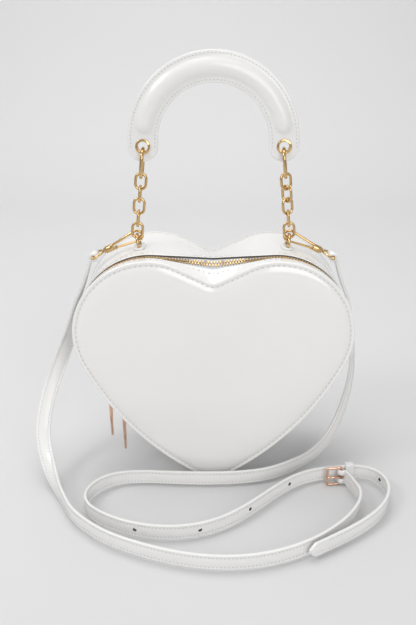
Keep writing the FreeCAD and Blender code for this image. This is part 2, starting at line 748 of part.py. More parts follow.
# Strap routes, chosen by hand: way out from the heart's side, y and height over the tip, then the width's direction
SHORT_RISER = [
    ((-5.5, 3, 158), (0, 1, 0)),
    ((3, 3, 140), (0.2, 1, 0)),
    ((7.5, 2, 120), (0.6, 0.8, 0)),
    ((14.5, 0, 100), (0.9, 0.4, 0)),
    ((24.5, -7, 76), (1, 0.1, -0.3)),
    ((32.5, -18, 52), (1, 0, -0.35)),
    ((33.5, -31, 31), (1, 0, 0)),
    ((26.5, -47, 15), (0.85, 0, 0.5)),
    ((17.5, -64, 7), (0.3, 0, 1)),
]
LONG_RISER = [
    ((-5.5, 3, 158), (0, 1, 0)),
    ((3, 4, 140), (0.1, 1, 0)),
    ((7.5, 6, 118), (0.2, 1, 0)),
    ((10.5, 8, 94), (0.35, 0.95, 0)),
    ((11.5, 8, 70), (0.5, 0.85, 0)),
    ((7.5, 5, 46), (0.7, 0.7, 0)),
    ((-0.5, -2, 25), (0.75, 0.6, -0.3)),
    ((-12.5, -12, 11), (0.5, 0.4, -0.75)),
]
# Plan points of the stretches that stand on edge on the floor
SHORT_FLOOR = [
    (-116, -80), (-107, -97), (-92, -112), (-74, -125), (-50, -136), (-24, -144.5), (4, -148.5),
    (30, -146.5), (54, -139), (76, -127), (96, -110), (110, -92), (115.5, -76), (112.5, -61.5),
]
LONG_FLOOR = [
    (80, -24), (64, -36), (44, -47), (20, -51.5), (-6, -52.5), (-32, -51.5), (-56, -49.5), (-78, -51.5),
    (-93, -61), (-100, -76), (-97, -90), (-85, -101), (-68, -110.5), (-46, -117), (-22, -117.5),
    (0, -111), (19, -98.5), (36, -82.5), (52, -66.5), (68, -53.5), (85, -46.5), (104, -43.5),
    (120, -42), (132.5, -47.5), (139, -60), (137, -78), (126, -96), (108, -112), (88, -125.5), (67, -138),
]
# The long strap is punched for the prong halfway along the runs that start here
PUNCHED_RUNS = [(-68, -110.5), (-22, -117.5), (19, -98.5), (52, -66.5), (132.5, -47.5)]
HALF_SHARE = 0.5
ARC_SHARE = 0.45

strap_z = tip_z + size("strap_width") / 2


def plan_path(points):
    """Straight runs and tangent arcs in plan: a list of (start, end, centre or None, radius, turn)."""
    pieces = []
    here = points[0]
    radii = []
    for before, corner, after in zip(points, points[1:], points[2:]):
        run_in = corner - before
        run_out = after - corner
        heading_in = unit(run_in)
        heading_out = unit(run_out)
        turn = math.atan2(heading_in.cross(heading_out).z, heading_in.dot(heading_out))
        back = ARC_SHARE * min(run_in.Length, run_out.Length)
        radius = back / math.tan(abs(turn) / 2)
        start = corner - heading_in * back
        end = corner + heading_out * back
        to_centre = Z_AXIS.cross(heading_in) * math.copysign(radius, turn)
        pieces.append((here, start, None, 0, 0))
        pieces.append((start, end, start + to_centre, radius, turn))
        radii.append(radius)
        here = end
    pieces.append((here, points[-1], None, 0, 0))
    return pieces, radii


def path_length(pieces):
    return sum(radius * abs(turn) if centre else (end - start).Length
               for start, end, centre, radius, turn in pieces)


def offset_edges(pieces, shift):
    """The path's edges moved sideways, to the left where shift is positive."""
    edges = []
    for start, end, centre, radius, turn in pieces:
        if centre is None:
            side = Z_AXIS.cross(unit(end - start)) * shift
            edges.append(line(start + side, end + side))
        else:
            scale = (radius - shift * math.copysign(1, turn)) / radius
            new_start = centre + (start - centre) * scale
            new_end = centre + (end - centre) * scale
            middle = centre + unit((new_start - centre) + (new_end - centre)) * (radius * scale)
            edges.append(arc(new_start, middle, new_end))
    return edges


def floor_band(label, points):
    """A strap that stands on edge, made from its plan outline."""
    low = Z_AXIS * (strap_z - size("strap_width") / 2)
    pieces, radii = plan_path([Vector(x, y, 0) + low for x, y in points])
    half = size("strap_thickness") / 2
    left = offset_edges(pieces, half)
    right = offset_edges(pieces, -half)
    caps = []
    for index in (0, -1):
        start, end = pieces[index][0], pieces[index][1]
        side = Z_AXIS.cross(unit(end - start)) * half
        where = start if index == 0 else end
        caps.append(line(where + side, where - side))
    outline = Part.Wire(left + [caps[1]] + right[::-1] + [caps[0]])
    solid = Part.Face(outline).extrude(Z_AXIS * size("strap_width"))
    length = path_length(pieces)
    share = solid.Volume / (length * size("strap_width") * size("strap_thickness"))
    print("%s length %.1f, least radius %.1f, volume share %.4f" % (label, length, min(radii), share))
    return solid, pieces


def section(centre, heading, width_way):
    """The strap's rectangle across its heading."""
    across = Vector(*width_way)
    across = unit(across - heading * across.dot(heading)) * (size("strap_width") / 2)
    thick = unit(heading.cross(across)) * (size("strap_thickness") / 2)
    corners = [centre + across + thick, centre + across - thick, centre - across - thick, centre - across + thick]
    return Part.makePolygon(corners + corners[:1])


def riser(label, side, route, floor_points):
    """The strap from its fold round the hook's eye down to the floor."""
    bar = eye_bar(side)
    inner = size("eye_bar") / 2 + size("strap_clearance")
    outer = inner + size("strap_thickness")
    edge = bar - Y_AXIS * (size("strap_width") / 2)
    fold = Part.makeCylinder(outer, size("strap_width"), edge, Y_AXIS)
    fold = fold.cut(Part.makeCylinder(inner, size("strap_width"), edge, Y_AXIS))
    top = bar + X_AXIS * (side * (inner + outer) / 2)
    ground = [Vector(x, y, strap_z) for x, y in floor_points[:2]]
    edge_x = size("heart_width") / 2
    centres = [top] + [Vector(side * (edge_x + x), y, tip_z + z) for (x, y, z), width in route] + [ground[0]]
    widths = [(0, 1, 0)] + [width for point, width in route]
    widths.append((0, 0, 1 if route[-1][1][2] > 0 else -1))
    sections = []
    for index, centre in enumerate(centres):
        if index == 0:
            heading = -Z_AXIS
        elif index == len(centres) - 1:
            heading = unit(ground[1] - ground[0])
        else:
            heading = unit(centres[index + 1] - centres[index - 1])
        sections.append(section(centre, heading, widths[index]))
    band = Part.makeLoft(sections, True, True)
    length = sum((b - a).Length for a, b in zip(centres, centres[1:]))
    share = band.Volume / (length * size("strap_width") * size("strap_thickness"))
    print("%s length %.1f, volume share %.4f" % (label, length, share))
    feature(label, fold.fuse(band).removeSplitter())


def buckle_frame():
    """Middle of the buckle's bar, the way along the strap and the way out of its face."""
    start, end = (Vector(x, y, strap_z) for x, y in LONG_FLOOR[20:22])
    along = unit(end - start)
    out = along.cross(Z_AXIS)
    stand = (size("strap_thickness") / 2 + size("strap_clearance") + size("buckle_wire") / 2
             + size("strap_clearance") + size("strap_thickness") + size("strap_clearance"))
    return end + out * stand, along, out


def make_straps():
    """The short strap that carries the buckle and the long, punched one that runs through it."""
    riser("short_strap_riser", LEFT, SHORT_RISER, SHORT_FLOOR)
    riser("long_strap_riser", RIGHT, LONG_RISER, LONG_FLOOR)
    bar, along, out = buckle_frame()
    inner = size("buckle_wire") / 2 + size("strap_clearance")
    outer = inner + size("strap_thickness")
    last = Vector(SHORT_FLOOR[-1][0], SHORT_FLOOR[-1][1], strap_z)
    side = unit(bar - last).cross(Z_AXIS)
    end = bar + side * ((inner + outer) / 2)
    solid, pieces = floor_band("short_strap_floor", SHORT_FLOOR + [(end.x, end.y)])
    low = bar - Z_AXIS * (size("strap_width") / 2)
    fold = Part.makeCylinder(outer, size("strap_width"), low)
    core = Part.makeCylinder(inner, size("strap_width"), low)
    slot = Part.makeCylinder(outer + size("overrun"), size("prong_slot"), bar - Z_AXIS * (size("prong_slot") / 2))
    fold = fold.cut(core).cut(slot)
    feature("short_strap_floor", solid.cut(core).cut(slot).fuse(fold).removeSplitter())
    solid, pieces = floor_band("long_strap_floor", LONG_FLOOR)
    for start, end in zip(LONG_FLOOR, LONG_FLOOR[1:]):
        if start not in PUNCHED_RUNS:
            continue
        a, b = (Vector(x, y, strap_z) for x, y in (start, end))
        through = unit(b - a).cross(Z_AXIS)
        middle = a + (b - a) * HALF_SHARE - through * (size("strap_thickness") + size("overrun"))
        punch = Part.makeCylinder(size("strap_hole") / 2, 2 * (size("strap_thickness") + size("overrun")),
                                  middle, through)
        solid = solid.cut(punch)
    feature("long_strap_floor", solid)


def make_buckle():
    """A round-cornered frame, a prong on its bar and a leather keeper on the long strap."""
    bar, along, out = buckle_frame()
    half = (size("buckle_height") - size("buckle_wire")) / 2
    reach = size("buckle_length") - size("buckle_wire")
    corner = size("buckle_corner")
    low = bar - Z_AXIS * half
    high = bar + Z_AXIS * half
    far_low = low - along * reach
    far_high = high - along * reach
    bend = corner * (1 - math.sqrt(2) / 2)
    nook = along + Z_AXIS
    twist = along - Z_AXIS
    edges = [
        line(low + Z_AXIS * corner, high - Z_AXIS * corner),
        arc(high - Z_AXIS * corner, high - nook * bend, high - along * corner),
        line(high - along * corner, far_high + along * corner),
        arc(far_high + along * corner, far_high + twist * bend, far_high - Z_AXIS * corner),
        line(far_high - Z_AXIS * corner, far_low + Z_AXIS * corner),
        arc(far_low + Z_AXIS * corner, far_low + nook * bend, far_low + along * corner),
        line(far_low + along * corner, low - along * corner),
        arc(low - along * corner, low - twist * bend, low + Z_AXIS * corner),
    ]
    feature("buckle_frame", rod(edges, size("buckle_wire") / 2))
    ring = Part.makeTorus(size("prong_ring"), size("prong_wire") / 2, bar, Z_AXIS)
    pin_start = bar + out * size("prong_ring")
    pin = Part.makeCylinder(size("prong_pin") / 2, reach + size("buckle_wire"), pin_start, -along)
    feature("buckle_prong", ring.fuse(pin).removeSplitter())
    make_keeper()


def make_keeper():
    """A flat leather loop round the long strap, just past the buckle."""
    a, b = (Vector(x, y, strap_z) for x, y in LONG_FLOOR[21:23])
    along = unit(b - a)
    middle = a + (b - a) * HALF_SHARE
    clear = 2 * size("strap_clearance")
    wall = 2 * size("keeper_leather")
    seat = Placement(middle, Rotation(along, Z_AXIS.cross(along), Z_AXIS, "ZXY"))
    outside = bind(doc.addObject("Part::Box", "keeper_outside"), Length=cell("keeper_length"),
                   Width="Sizes.strap_thickness + 2 * Sizes.strap_clearance + 2 * Sizes.keeper_leather",
                   Height="Sizes.strap_width + 2 * Sizes.strap_clearance + 2 * Sizes.keeper_leather")
    inside = bind(doc.addObject("Part::Box", "keeper_inside"), Length="Sizes.keeper_length + 2 * Sizes.overrun",
                  Width="Sizes.strap_thickness + 2 * Sizes.strap_clearance",
                  Height="Sizes.strap_width + 2 * Sizes.strap_clearance")
    for box, long, wide, tall in (
            (outside, size("keeper_length"), clear + wall, clear + wall),
            (inside, size("keeper_length") + 2 * size("overrun"), clear, clear)):
        box.Placement = Placement(Vector(-long / 2, -(size("strap_thickness") + wide) / 2,
                                         -(size("strap_width") + tall) / 2), Rotation())
    keeper = doc.addObject("Part::Cut", "strap_keeper")
    keeper.Base = outside
    keeper.Tool = inside
    keeper.Placement = seat
    keep(keeper, "strap_keeper")


make_panels()
make_gussets()
make_zip()
make_sliders()
make_handle()
make_chains()
make_anchors()
make_hooks()
make_straps()
make_buckle()
doc.recompute()

# Nothing is written unless every object is sound
for obj in doc.Objects:
    if "Invalid" in obj.State or "Error" in obj.State:
        raise RuntimeError("%s did not recompute: %s" % (obj.Label, obj.State))
for obj in PARTS:
    if obj.Shape.isNull() or not obj.Shape.isValid():
        raise RuntimeError("%s has no valid shape" % obj.Label)
os.makedirs("parts", exist_ok=True)
for obj in PARTS:
    obj.Shape.exportStep(os.path.join("parts", obj.Label + ".step"))
    print("%s: %d solids, %.1f mm3" % (obj.Label, len(obj.Shape.Solids), obj.Shape.Volume))
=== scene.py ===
"""Looks of a white heart-shaped purse, laid out as a Blender add-on and run as a script."""
import json
import math

import bmesh
import bpy
from bpy.props import FloatProperty, FloatVectorProperty, IntProperty, PointerProperty
from mathutils import Matrix, Vector


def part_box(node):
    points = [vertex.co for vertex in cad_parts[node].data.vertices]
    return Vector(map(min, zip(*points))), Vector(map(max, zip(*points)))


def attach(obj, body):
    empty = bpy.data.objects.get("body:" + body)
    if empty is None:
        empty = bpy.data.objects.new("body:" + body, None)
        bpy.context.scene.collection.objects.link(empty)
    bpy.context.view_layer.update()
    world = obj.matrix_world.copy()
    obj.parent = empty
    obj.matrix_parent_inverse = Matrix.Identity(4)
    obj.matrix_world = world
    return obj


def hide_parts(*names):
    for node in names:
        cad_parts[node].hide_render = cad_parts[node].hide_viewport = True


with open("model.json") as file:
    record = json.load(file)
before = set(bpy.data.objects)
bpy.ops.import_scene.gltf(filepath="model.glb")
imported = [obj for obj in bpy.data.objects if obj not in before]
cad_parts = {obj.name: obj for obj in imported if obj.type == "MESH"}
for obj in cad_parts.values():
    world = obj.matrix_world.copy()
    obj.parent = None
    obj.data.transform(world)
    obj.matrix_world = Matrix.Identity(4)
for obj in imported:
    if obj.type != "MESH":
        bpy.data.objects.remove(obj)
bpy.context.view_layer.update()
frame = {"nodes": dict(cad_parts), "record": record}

bl_info = {
    "name": "Heart Purse",
    "version": (1, 0, 0),
    "blender": (4, 5, 0),
    "location": "View3D > Sidebar > Purse",
    "description": "Dresses the heart purse in leather, thread and metal",
    "category": "Object",
}

MM = 0.001
X_AXIS = Vector((1, 0, 0))
Y_AXIS = Vector((0, 1, 0))
Z_AXIS = Vector((0, 0, 1))
FRONT = -1
BACK = 1
NODE_BODY = {node: body for body, nodes in frame["record"]["behaviour"]["bodies"].items() for node in nodes}
HEART_LOW, HEART_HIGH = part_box("front_panel")
HEART_MIDDLE = (HEART_LOW + HEART_HIGH) / 2
FLOOR_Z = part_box("buckle_frame")[0].z

# Points this close are one point: on a solid's mesh, on a strap's mesh, and across a solid's edge line
WELD = 0.002 * MM
BAND_WELD = 0.01 * MM
SAME_DEPTH = 0.01 * MM
# A face looks toward a direction when their product is above this
FACING = 0.3
# Edges flatter than the first angle go, and edges sharper than the second are bevelled
FLAT_ANGLE = math.radians(0.5)
SHARP_ANGLE = math.radians(40)
# The hearts through the depth differ only between the crests, this far each side of the middle
NOTCH_REACH = 46 * MM
# A stitch fills this share of its pitch
STITCH_SHARE = 0.55
# Half the width of the darker line along the middle of the handle's edge: painted shade on its cut edge
EDGE_SHADE_LINE = 0.18 * MM


# Sizes and colours that a user would change
class PurseSizes(bpy.types.PropertyGroup):
    stitch_pitch: FloatProperty(name="Stitch pitch", description="Distance between stitches on the panels",
                                default=4.0 * MM, unit="LENGTH")
    fine_pitch: FloatProperty(name="Fine stitch pitch", default=2.75 * MM, unit="LENGTH",
                              description="Distance between stitches on handle and strap")
    thread_width: FloatProperty(name="Thread width", description="Thickness of the sewing thread",
                                default=0.75 * MM, unit="LENGTH")
    tooth_pitch: FloatProperty(name="Tooth pitch", description="Distance between zip teeth of one row",
                               default=2.2 * MM, unit="LENGTH")
    strap_width: FloatProperty(name="Strap width", description="Width of the shoulder strap",
                               default=12.0 * MM, unit="LENGTH")
    strap_thickness: FloatProperty(name="Strap thickness", description="Thickness of the shoulder strap",
                                   default=2.2 * MM, unit="LENGTH")
    strap_steps: IntProperty(name="Strap steps", default=10, min=4, max=24,
                             description="Samples of the strap's line from point to point")
    handle_voxel: FloatProperty(name="Handle voxel", description="Grain of the padded handle's mesh",
                                default=0.7 * MM, unit="LENGTH")


class PurseColours(bpy.types.PropertyGroup):
    patent: FloatVectorProperty(name="Patent leather", description="Colour of the glossy shell",
                                subtype="COLOR", size=3, min=0, max=1, default=(0.86, 0.852, 0.838))
    smooth: FloatVectorProperty(name="Smooth leather", description="Colour of handle and strap",
                                subtype="COLOR", size=3, min=0, max=1, default=(0.83, 0.825, 0.815))
    gold: FloatVectorProperty(name="Gold", description="Colour of chain, hooks and zip teeth",
                              subtype="COLOR", size=3, min=0, max=1, default=(0.68, 0.47, 0.22))
    rose: FloatVectorProperty(name="Rose gold", description="Colour of buckle and zip pulls",
                              subtype="COLOR", size=3, min=0, max=1, default=(0.78, 0.5, 0.36))
    thread: FloatVectorProperty(name="Thread", description="Colour of the stitches",
                                subtype="COLOR", size=3, min=0, max=1, default=(0.66, 0.655, 0.645))
    tape: FloatVectorProperty(name="Zip tape", description="Colour of the zip's woven tape",
                              subtype="COLOR", size=3, min=0, max=1, default=(0.66, 0.69, 0.74))
    lining: FloatVectorProperty(name="Lining", description="Colour of the cloth inside",
                                subtype="COLOR", size=3, min=0, max=1, default=(0.62, 0.6, 0.57))
    backdrop: FloatVectorProperty(name="Backdrop", description="Colour of floor and backdrop",
                                  subtype="COLOR", size=3, min=0, max=1, default=(0.71, 0.71, 0.716))


# Materials: a socket that does arithmetic, and a finish that makes nodes
class Wire:
    """One value in a material, so that its maths is written as plain expressions."""

    def __init__(self, finish, socket):
        self.finish = finish
        self.socket = socket

    def maths(self, operation, first, second):
        made = self.finish.node("ShaderNodeMath", {"operation": operation}, {0: first, 1: second})
        return Wire(self.finish, made.outputs[0])

    def __add__(self, other):
        return self.maths("ADD", self, other)

    def __mul__(self, other):
        return self.maths("MULTIPLY", self, other)

    def __truediv__(self, other):
        return self.maths("DIVIDE", self, other)

    __radd__ = __add__

    def below(self, limit):
        return self.maths("LESS_THAN", self, limit)

    def size(self):
        made = self.finish.node("ShaderNodeMath", {"operation": "ABSOLUTE"}, {0: self})
        return Wire(self.finish, made.outputs[0])


class Finish:
    """One material with its Principled shader, and the one way that its nodes are made."""

    def __init__(self, name, roughness=0.5, metallic=0.0):
        self.material = bpy.data.materials.new(name)
        self.material.use_nodes = True
        self.tree = self.material.node_tree
        self.shader = self.tree.nodes["Principled BSDF"]
        self.set({"Roughness": roughness, "Metallic": metallic})

    def set(self, sockets, node=None):
        for key, value in sockets.items():
            socket = (node or self.shader).inputs[key]
            if isinstance(value, Wire):
                self.tree.links.new(value.socket, socket)
            elif isinstance(value, bpy.types.NodeSocket):
                self.tree.links.new(value, socket)
            elif hasattr(value, "__len__") and len(value) == 3 and len(socket.default_value) == 4:
                socket.default_value = (*value, 1)
            else:
                socket.default_value = value

    def node(self, kind, settings, sockets):
        made = self.tree.nodes.new(kind)
        for key, value in settings.items():
            setattr(made, key, value)
        self.set(sockets, made)
        return made

    def place(self, axis=None):
        made = self.node("ShaderNodeTexCoord", {}, {})
        if axis is None:
            return made.outputs["Object"]
        split = self.node("ShaderNodeSeparateXYZ", {}, {0: made.outputs["Object"]})
        return Wire(self, split.outputs[axis])

    def noise(self, scale, detail=3.0):
        made = self.node("ShaderNodeTexNoise", {},
                         {"Vector": self.place(), "Scale": scale, "Detail": detail, "Roughness": 0.55})
        return Wire(self, made.outputs["Fac"])

    def cells(self, scale):
        made = self.node("ShaderNodeTexVoronoi", {"feature": "DISTANCE_TO_EDGE"},
                         {"Vector": self.place(), "Scale": scale})
        return Wire(self, made.outputs["Distance"])

    def mix(self, factor, first, second):
        made = self.node("ShaderNodeMix", {"data_type": "RGBA"}, {0: factor, 6: first, 7: second})
        return made.outputs[2]

    def bump(self, height, depth, strength=1.0):
        made = self.node("ShaderNodeBump", {}, {"Height": height, "Distance": depth, "Strength": strength})
        self.set({"Normal": made.outputs["Normal"]})


def shade(colour, factor):
    return tuple(channel * factor for channel in colour)


def patent_finish(colour):
    """Glossy coated leather with a faint orange peel and slow waves."""
    finish = Finish("white_patent", roughness=0.2)
    finish.set({"Coat Weight": 0.7, "Coat Roughness": 0.06, "Coat IOR": 1.5})
    finish.set({"Base Color": finish.mix(finish.noise(18), shade(colour, 0.975), shade(colour, 1.015))})
    finish.set({"Roughness": 0.16 + finish.noise(60) * 0.08})
    finish.bump(finish.noise(9, 1) + finish.noise(520, 2) * 0.03, 0.9 * MM, 0.25)
    return finish.material


def smooth_leather_finish(name, colour, seam=False):
    """Semi-gloss leather with a fine pebble grain and, with seam set, a darker line along the middle of its
    edge: painted shade on the cut edge.
    """
    finish = Finish(name, roughness=0.38)
    finish.set({"Coat Weight": 0.6, "Coat Roughness": 0.1})
    base = finish.mix(finish.noise(30), shade(colour, 0.965), shade(colour, 1.015))
    if seam:
        # Painted shade: a thin darker line along the middle depth of the band's edge
        base = finish.mix(finish.place("Y").size().below(EDGE_SHADE_LINE), base, shade(colour, 0.62))
    finish.set({"Base Color": base})
    finish.set({"Roughness": 0.3 + finish.noise(90) * 0.14})
    finish.bump(finish.cells(900) + finish.noise(1500, 2) * 0.4, 0.07 * MM, 0.35)
    return finish.material


def metal_finish(name, colour):
    """Plated metal, polished, with fine rubbed marks."""
    finish = Finish(name, roughness=0.2, metallic=1.0)
    finish.set({"Base Color": finish.mix(finish.noise(160), shade(colour, 0.93), shade(colour, 1.06))})
    finish.set({"Roughness": 0.06 + finish.noise(420) * 0.1})
    finish.bump(finish.noise(700, 2), 0.04 * MM, 0.2)
    return finish.material


def thread_finish(colour):
    """Twisted polyester thread."""
    finish = Finish("stitch_thread", roughness=0.55)
    twist = finish.node("ShaderNodeTexWave", {"bands_direction": "DIAGONAL"},
                        {"Vector": finish.place(), "Scale": 900.0, "Distortion": 0.6})
    strand = Wire(finish, twist.outputs["Fac"])
    finish.set({"Base Color": finish.mix(strand, shade(colour, 0.86), shade(colour, 1.03))})
    finish.set({"Roughness": 0.45 + strand * 0.15})
    finish.bump(strand, 0.06 * MM, 0.4)
    return finish.material


def cloth_finish(name, colour, scale):
    """Plain weave: two crossed waves."""
    finish = Finish(name, roughness=0.85)
    finish.set({"Sheen Weight": 0.2})
    warp, weft = (Wire(finish, finish.node("ShaderNodeTexWave", {"bands_direction": way},
                                           {"Vector": finish.place(), "Scale": scale,
                                            "Distortion": 0.4}).outputs["Fac"]) for way in ("X", "Z"))
    weave = warp * 0.5 + weft * 0.5
    finish.set({"Base Color": finish.mix(weave, shade(colour, 0.86), shade(colour, 1.04))})
    finish.set({"Roughness": 0.78 + weave * 0.15})
    finish.bump(weave, 0.12 * MM, 0.5)
    return finish.material


def board_finish():
    """Grey-brown stiffening board with short fibres."""
    finish = Finish("stiffening_board", roughness=0.9)
    finish.set({"Base Color": finish.mix(finish.noise(400), (0.36, 0.32, 0.27), (0.5, 0.46, 0.4))})
    finish.bump(finish.noise(900), 0.05 * MM, 0.4)
    return finish.material


def cut_edge_shade_finish():
    """The cut edge of leather, darkened near black as painted shade: the shadow gap under the zip's rear lip
    and the dark inside of the punched holes.
    """
    finish = Finish("cut_leather_edge_shade", roughness=0.8)
    finish.set({"Base Color": finish.mix(finish.noise(900), (0.07, 0.062, 0.055), (0.13, 0.118, 0.105))})
    return finish.material


FINISHES = {}


def finish_named(name):
    """Each material once, by name."""
    if name not in FINISHES:
        colours = bpy.context.scene.purse_colours
        makers = {
            "patent": lambda: patent_finish(tuple(colours.patent)),
            # seam=True gives the handle its painted shade line along the edge
            "handle_leather": lambda: smooth_leather_finish("handle_leather", tuple(colours.smooth),
                                                            seam=True),
            "strap_leather": lambda: smooth_leather_finish("strap_leather", tuple(colours.smooth)),
            "gold": lambda: metal_finish("polished_gold", tuple(colours.gold)),
            "rose": lambda: metal_finish("rose_gold", tuple(colours.rose)),
            "thread": lambda: thread_finish(tuple(colours.thread)),
            "tape": lambda: cloth_finish("zip_tape", tuple(colours.tape), 420.0),
            "lining": lambda: cloth_finish("lining_cloth", tuple(colours.lining), 300.0),
            "board": board_finish,
            "cut_edge_shade": cut_edge_shade_finish,
        }
        FINISHES[name] = makers[name]()
    return FINISHES[name]


# Making pieces
def put(name, bm, finish, body, smooth=40):
    """A finished bmesh as a piece that rides on a body."""
    mesh = bpy.data.meshes.new(name)
    bm.to_mesh(mesh)
    bm.free()
    for polygon in mesh.polygons:
        polygon.use_smooth = True
    mesh.set_sharp_from_angle(angle=math.radians(smooth))
    piece = bpy.data.objects.new(name, mesh)
    bpy.context.collection.objects.link(piece)
    mesh.materials.append(finish_named(finish))
    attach(piece, body)
    return piece


def slot_of(node):
    return next(part["material_slot"] for part in frame["record"]["subparts"] if part["node"] == node)


def node_bmesh(*nodes):
    """The solids of some nodes as one welded bmesh."""
    bm = bmesh.new()
    for node in nodes:
        bm.from_mesh(frame["nodes"][node].data)
    bmesh.ops.remove_doubles(bm, verts=bm.verts, dist=WELD)
    return bm


def dress(node, finish, bevel=0.0, smooth=40):
    """A node's own shape with its edges eased, in place of the node."""
    bm = node_bmesh(node)
    if bevel:
        bmesh.ops.dissolve_limit(bm, angle_limit=FLAT_ANGLE, verts=bm.verts, edges=bm.edges)
        sharp = [edge for edge in bm.edges if edge.is_manifold and edge.calc_face_angle() > SHARP_ANGLE]
        bmesh.ops.bevel(bm, geom=sharp, offset=bevel, offset_type="OFFSET", affect="EDGES", segments=2,
                        profile=0.5, material=-1, clamp_overlap=True)
    piece = put(node + "_dressed", bm, finish, NODE_BODY[node], smooth)
    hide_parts(node)
    return piece


def heart_angle(point):
    return math.atan2(point.x, point.z - HEART_MIDDLE.z)


def heart_line(node, depth, way):
    """A node's edge at one depth, in order round the heart; way is the side that its faces look to."""
    found = {}
    mesh = frame["nodes"][node].data
    for polygon in mesh.polygons:
        centre = polygon.center - HEART_MIDDLE
        radial = Vector((centre.x, 0, centre.z)).normalized()
        if polygon.normal.dot(radial if way == "out" else way) < FACING:
            continue
        for index in polygon.vertices:
            point = mesh.vertices[index].co
            if abs(point.y - depth) < SAME_DEPTH:
                found[round(heart_angle(point), 5)] = point.copy()
    return [found[angle] for angle in sorted(found)]


def top_height(line, x):
    """Height of a heart line's upper side at x."""
    runs = [(a, b) for a, b in zip(line, line[1:] + line[:1])
            if min(a.x, b.x) <= x <= max(a.x, b.x) and a.x != b.x]
    return max(a.z + (b.z - a.z) * (x - a.x) / (b.x - a.x) for a, b in runs)


def across_to(point, line, depth):
    """The place beside a heart's point on another heart line: they differ between the crests only."""
    inside = abs(point.x) < NOTCH_REACH and point.z > HEART_MIDDLE.z
    return Vector((point.x, depth, top_height(line, point.x) if inside else point.z))


def outward(heading, point):
    """The direction out of the heart at a place on its edge."""
    out = heading.cross(Y_AXIS).normalized()
    return out if out.dot(point - HEART_MIDDLE) > 0 else -out


def slot_edges():
    """Depth and line of the zip slot's two edges: the front strip's and the rear lip's."""
    seam_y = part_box("front_gusset")[1].y
    lip_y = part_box("rear_zip_teeth")[1].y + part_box("front_zip_teeth")[0].y - seam_y
    return seam_y, heart_line("front_gusset", seam_y, "out"), lip_y, heart_line("rear_gusset", lip_y, "out")


def strip(places, ends, wall):
    """A closed wall from heart line to heart line, with rolled edges."""
    # Share of the way across, and depth below the outer face
    rounded = [(0.0, wall), (0.0, 0.4 * MM), (0.012, 0.12 * MM), (0.04, 0.0)]
    border, steps = rounded[-1][0], 8
    profile = rounded + [(border + (1 - 2 * border) * k / steps, 0.0) for k in range(1, steps)]
    profile += [(1 - share, sink) for share, sink in reversed(rounded)]
    bm = bmesh.new()
    bmesh.ops.create_grid(bm, x_segments=len(places), y_segments=len(profile), size=1.0)
    for vert in bm.verts:
        column = round((vert.co.x + 1) / 2 * len(places)) % len(places)
        share, sink = profile[round((vert.co.y + 1) / 2 * len(profile)) % len(profile)]
        point, heading, run = places[column]
        vert.co = point.lerp(ends[column], share) - outward(heading, point) * sink
    bmesh.ops.remove_doubles(bm, verts=bm.verts, dist=WELD)
    bmesh.ops.recalc_face_normals(bm, faces=bm.faces)
    return bm


def paced(points, pitch, closed):
    """Evenly spaced places on a line, each with its direction and the run that it is on."""
    line = points + points[:1] if closed else points
    lengths = [(b - a).length for a, b in zip(line, line[1:])]
    count = max(2, round(sum(lengths) / pitch))
    step = sum(lengths) / count
    places = []
    index, used = 0, 0.0
    for number in range(count if closed else count + 1):
        target = min(number * step, sum(lengths) * 0.999999)
        while used + lengths[index] < target:
            used += lengths[index]
            index += 1
        heading = (line[index + 1] - line[index]).normalized()
        places.append((line[index] + heading * (target - used), heading, index))
    return places


def seat(place, heading, up):
    """A frame with its X along heading and its Z along up."""
    side = up.cross(heading).normalized()
    top = heading.cross(side).normalized()
    turn = Matrix((heading, side, top)).transposed().to_4x4()
    return Matrix.Translation(place) @ turn


def sew(bm, places, length, width):
    """Thread lying in short stitches: places are (middle, heading, up)."""
    for middle, heading, up in places:
        made = bmesh.ops.create_icosphere(bm, subdivisions=1, radius=1.0)
        shape = seat(middle, heading, up) @ Matrix.Diagonal((length / 2, width / 2, width / 2, 1))
        bmesh.ops.transform(bm, matrix=shape, verts=made["verts"])


def seam(name, body, slot, places, pitch):
    """A row of stitches as one piece."""
    bm = bmesh.new()
    sew(bm, places, pitch * STITCH_SHARE, bpy.context.scene.purse_sizes.thread_width)
    return put(name, bm, "thread", body, smooth=180)


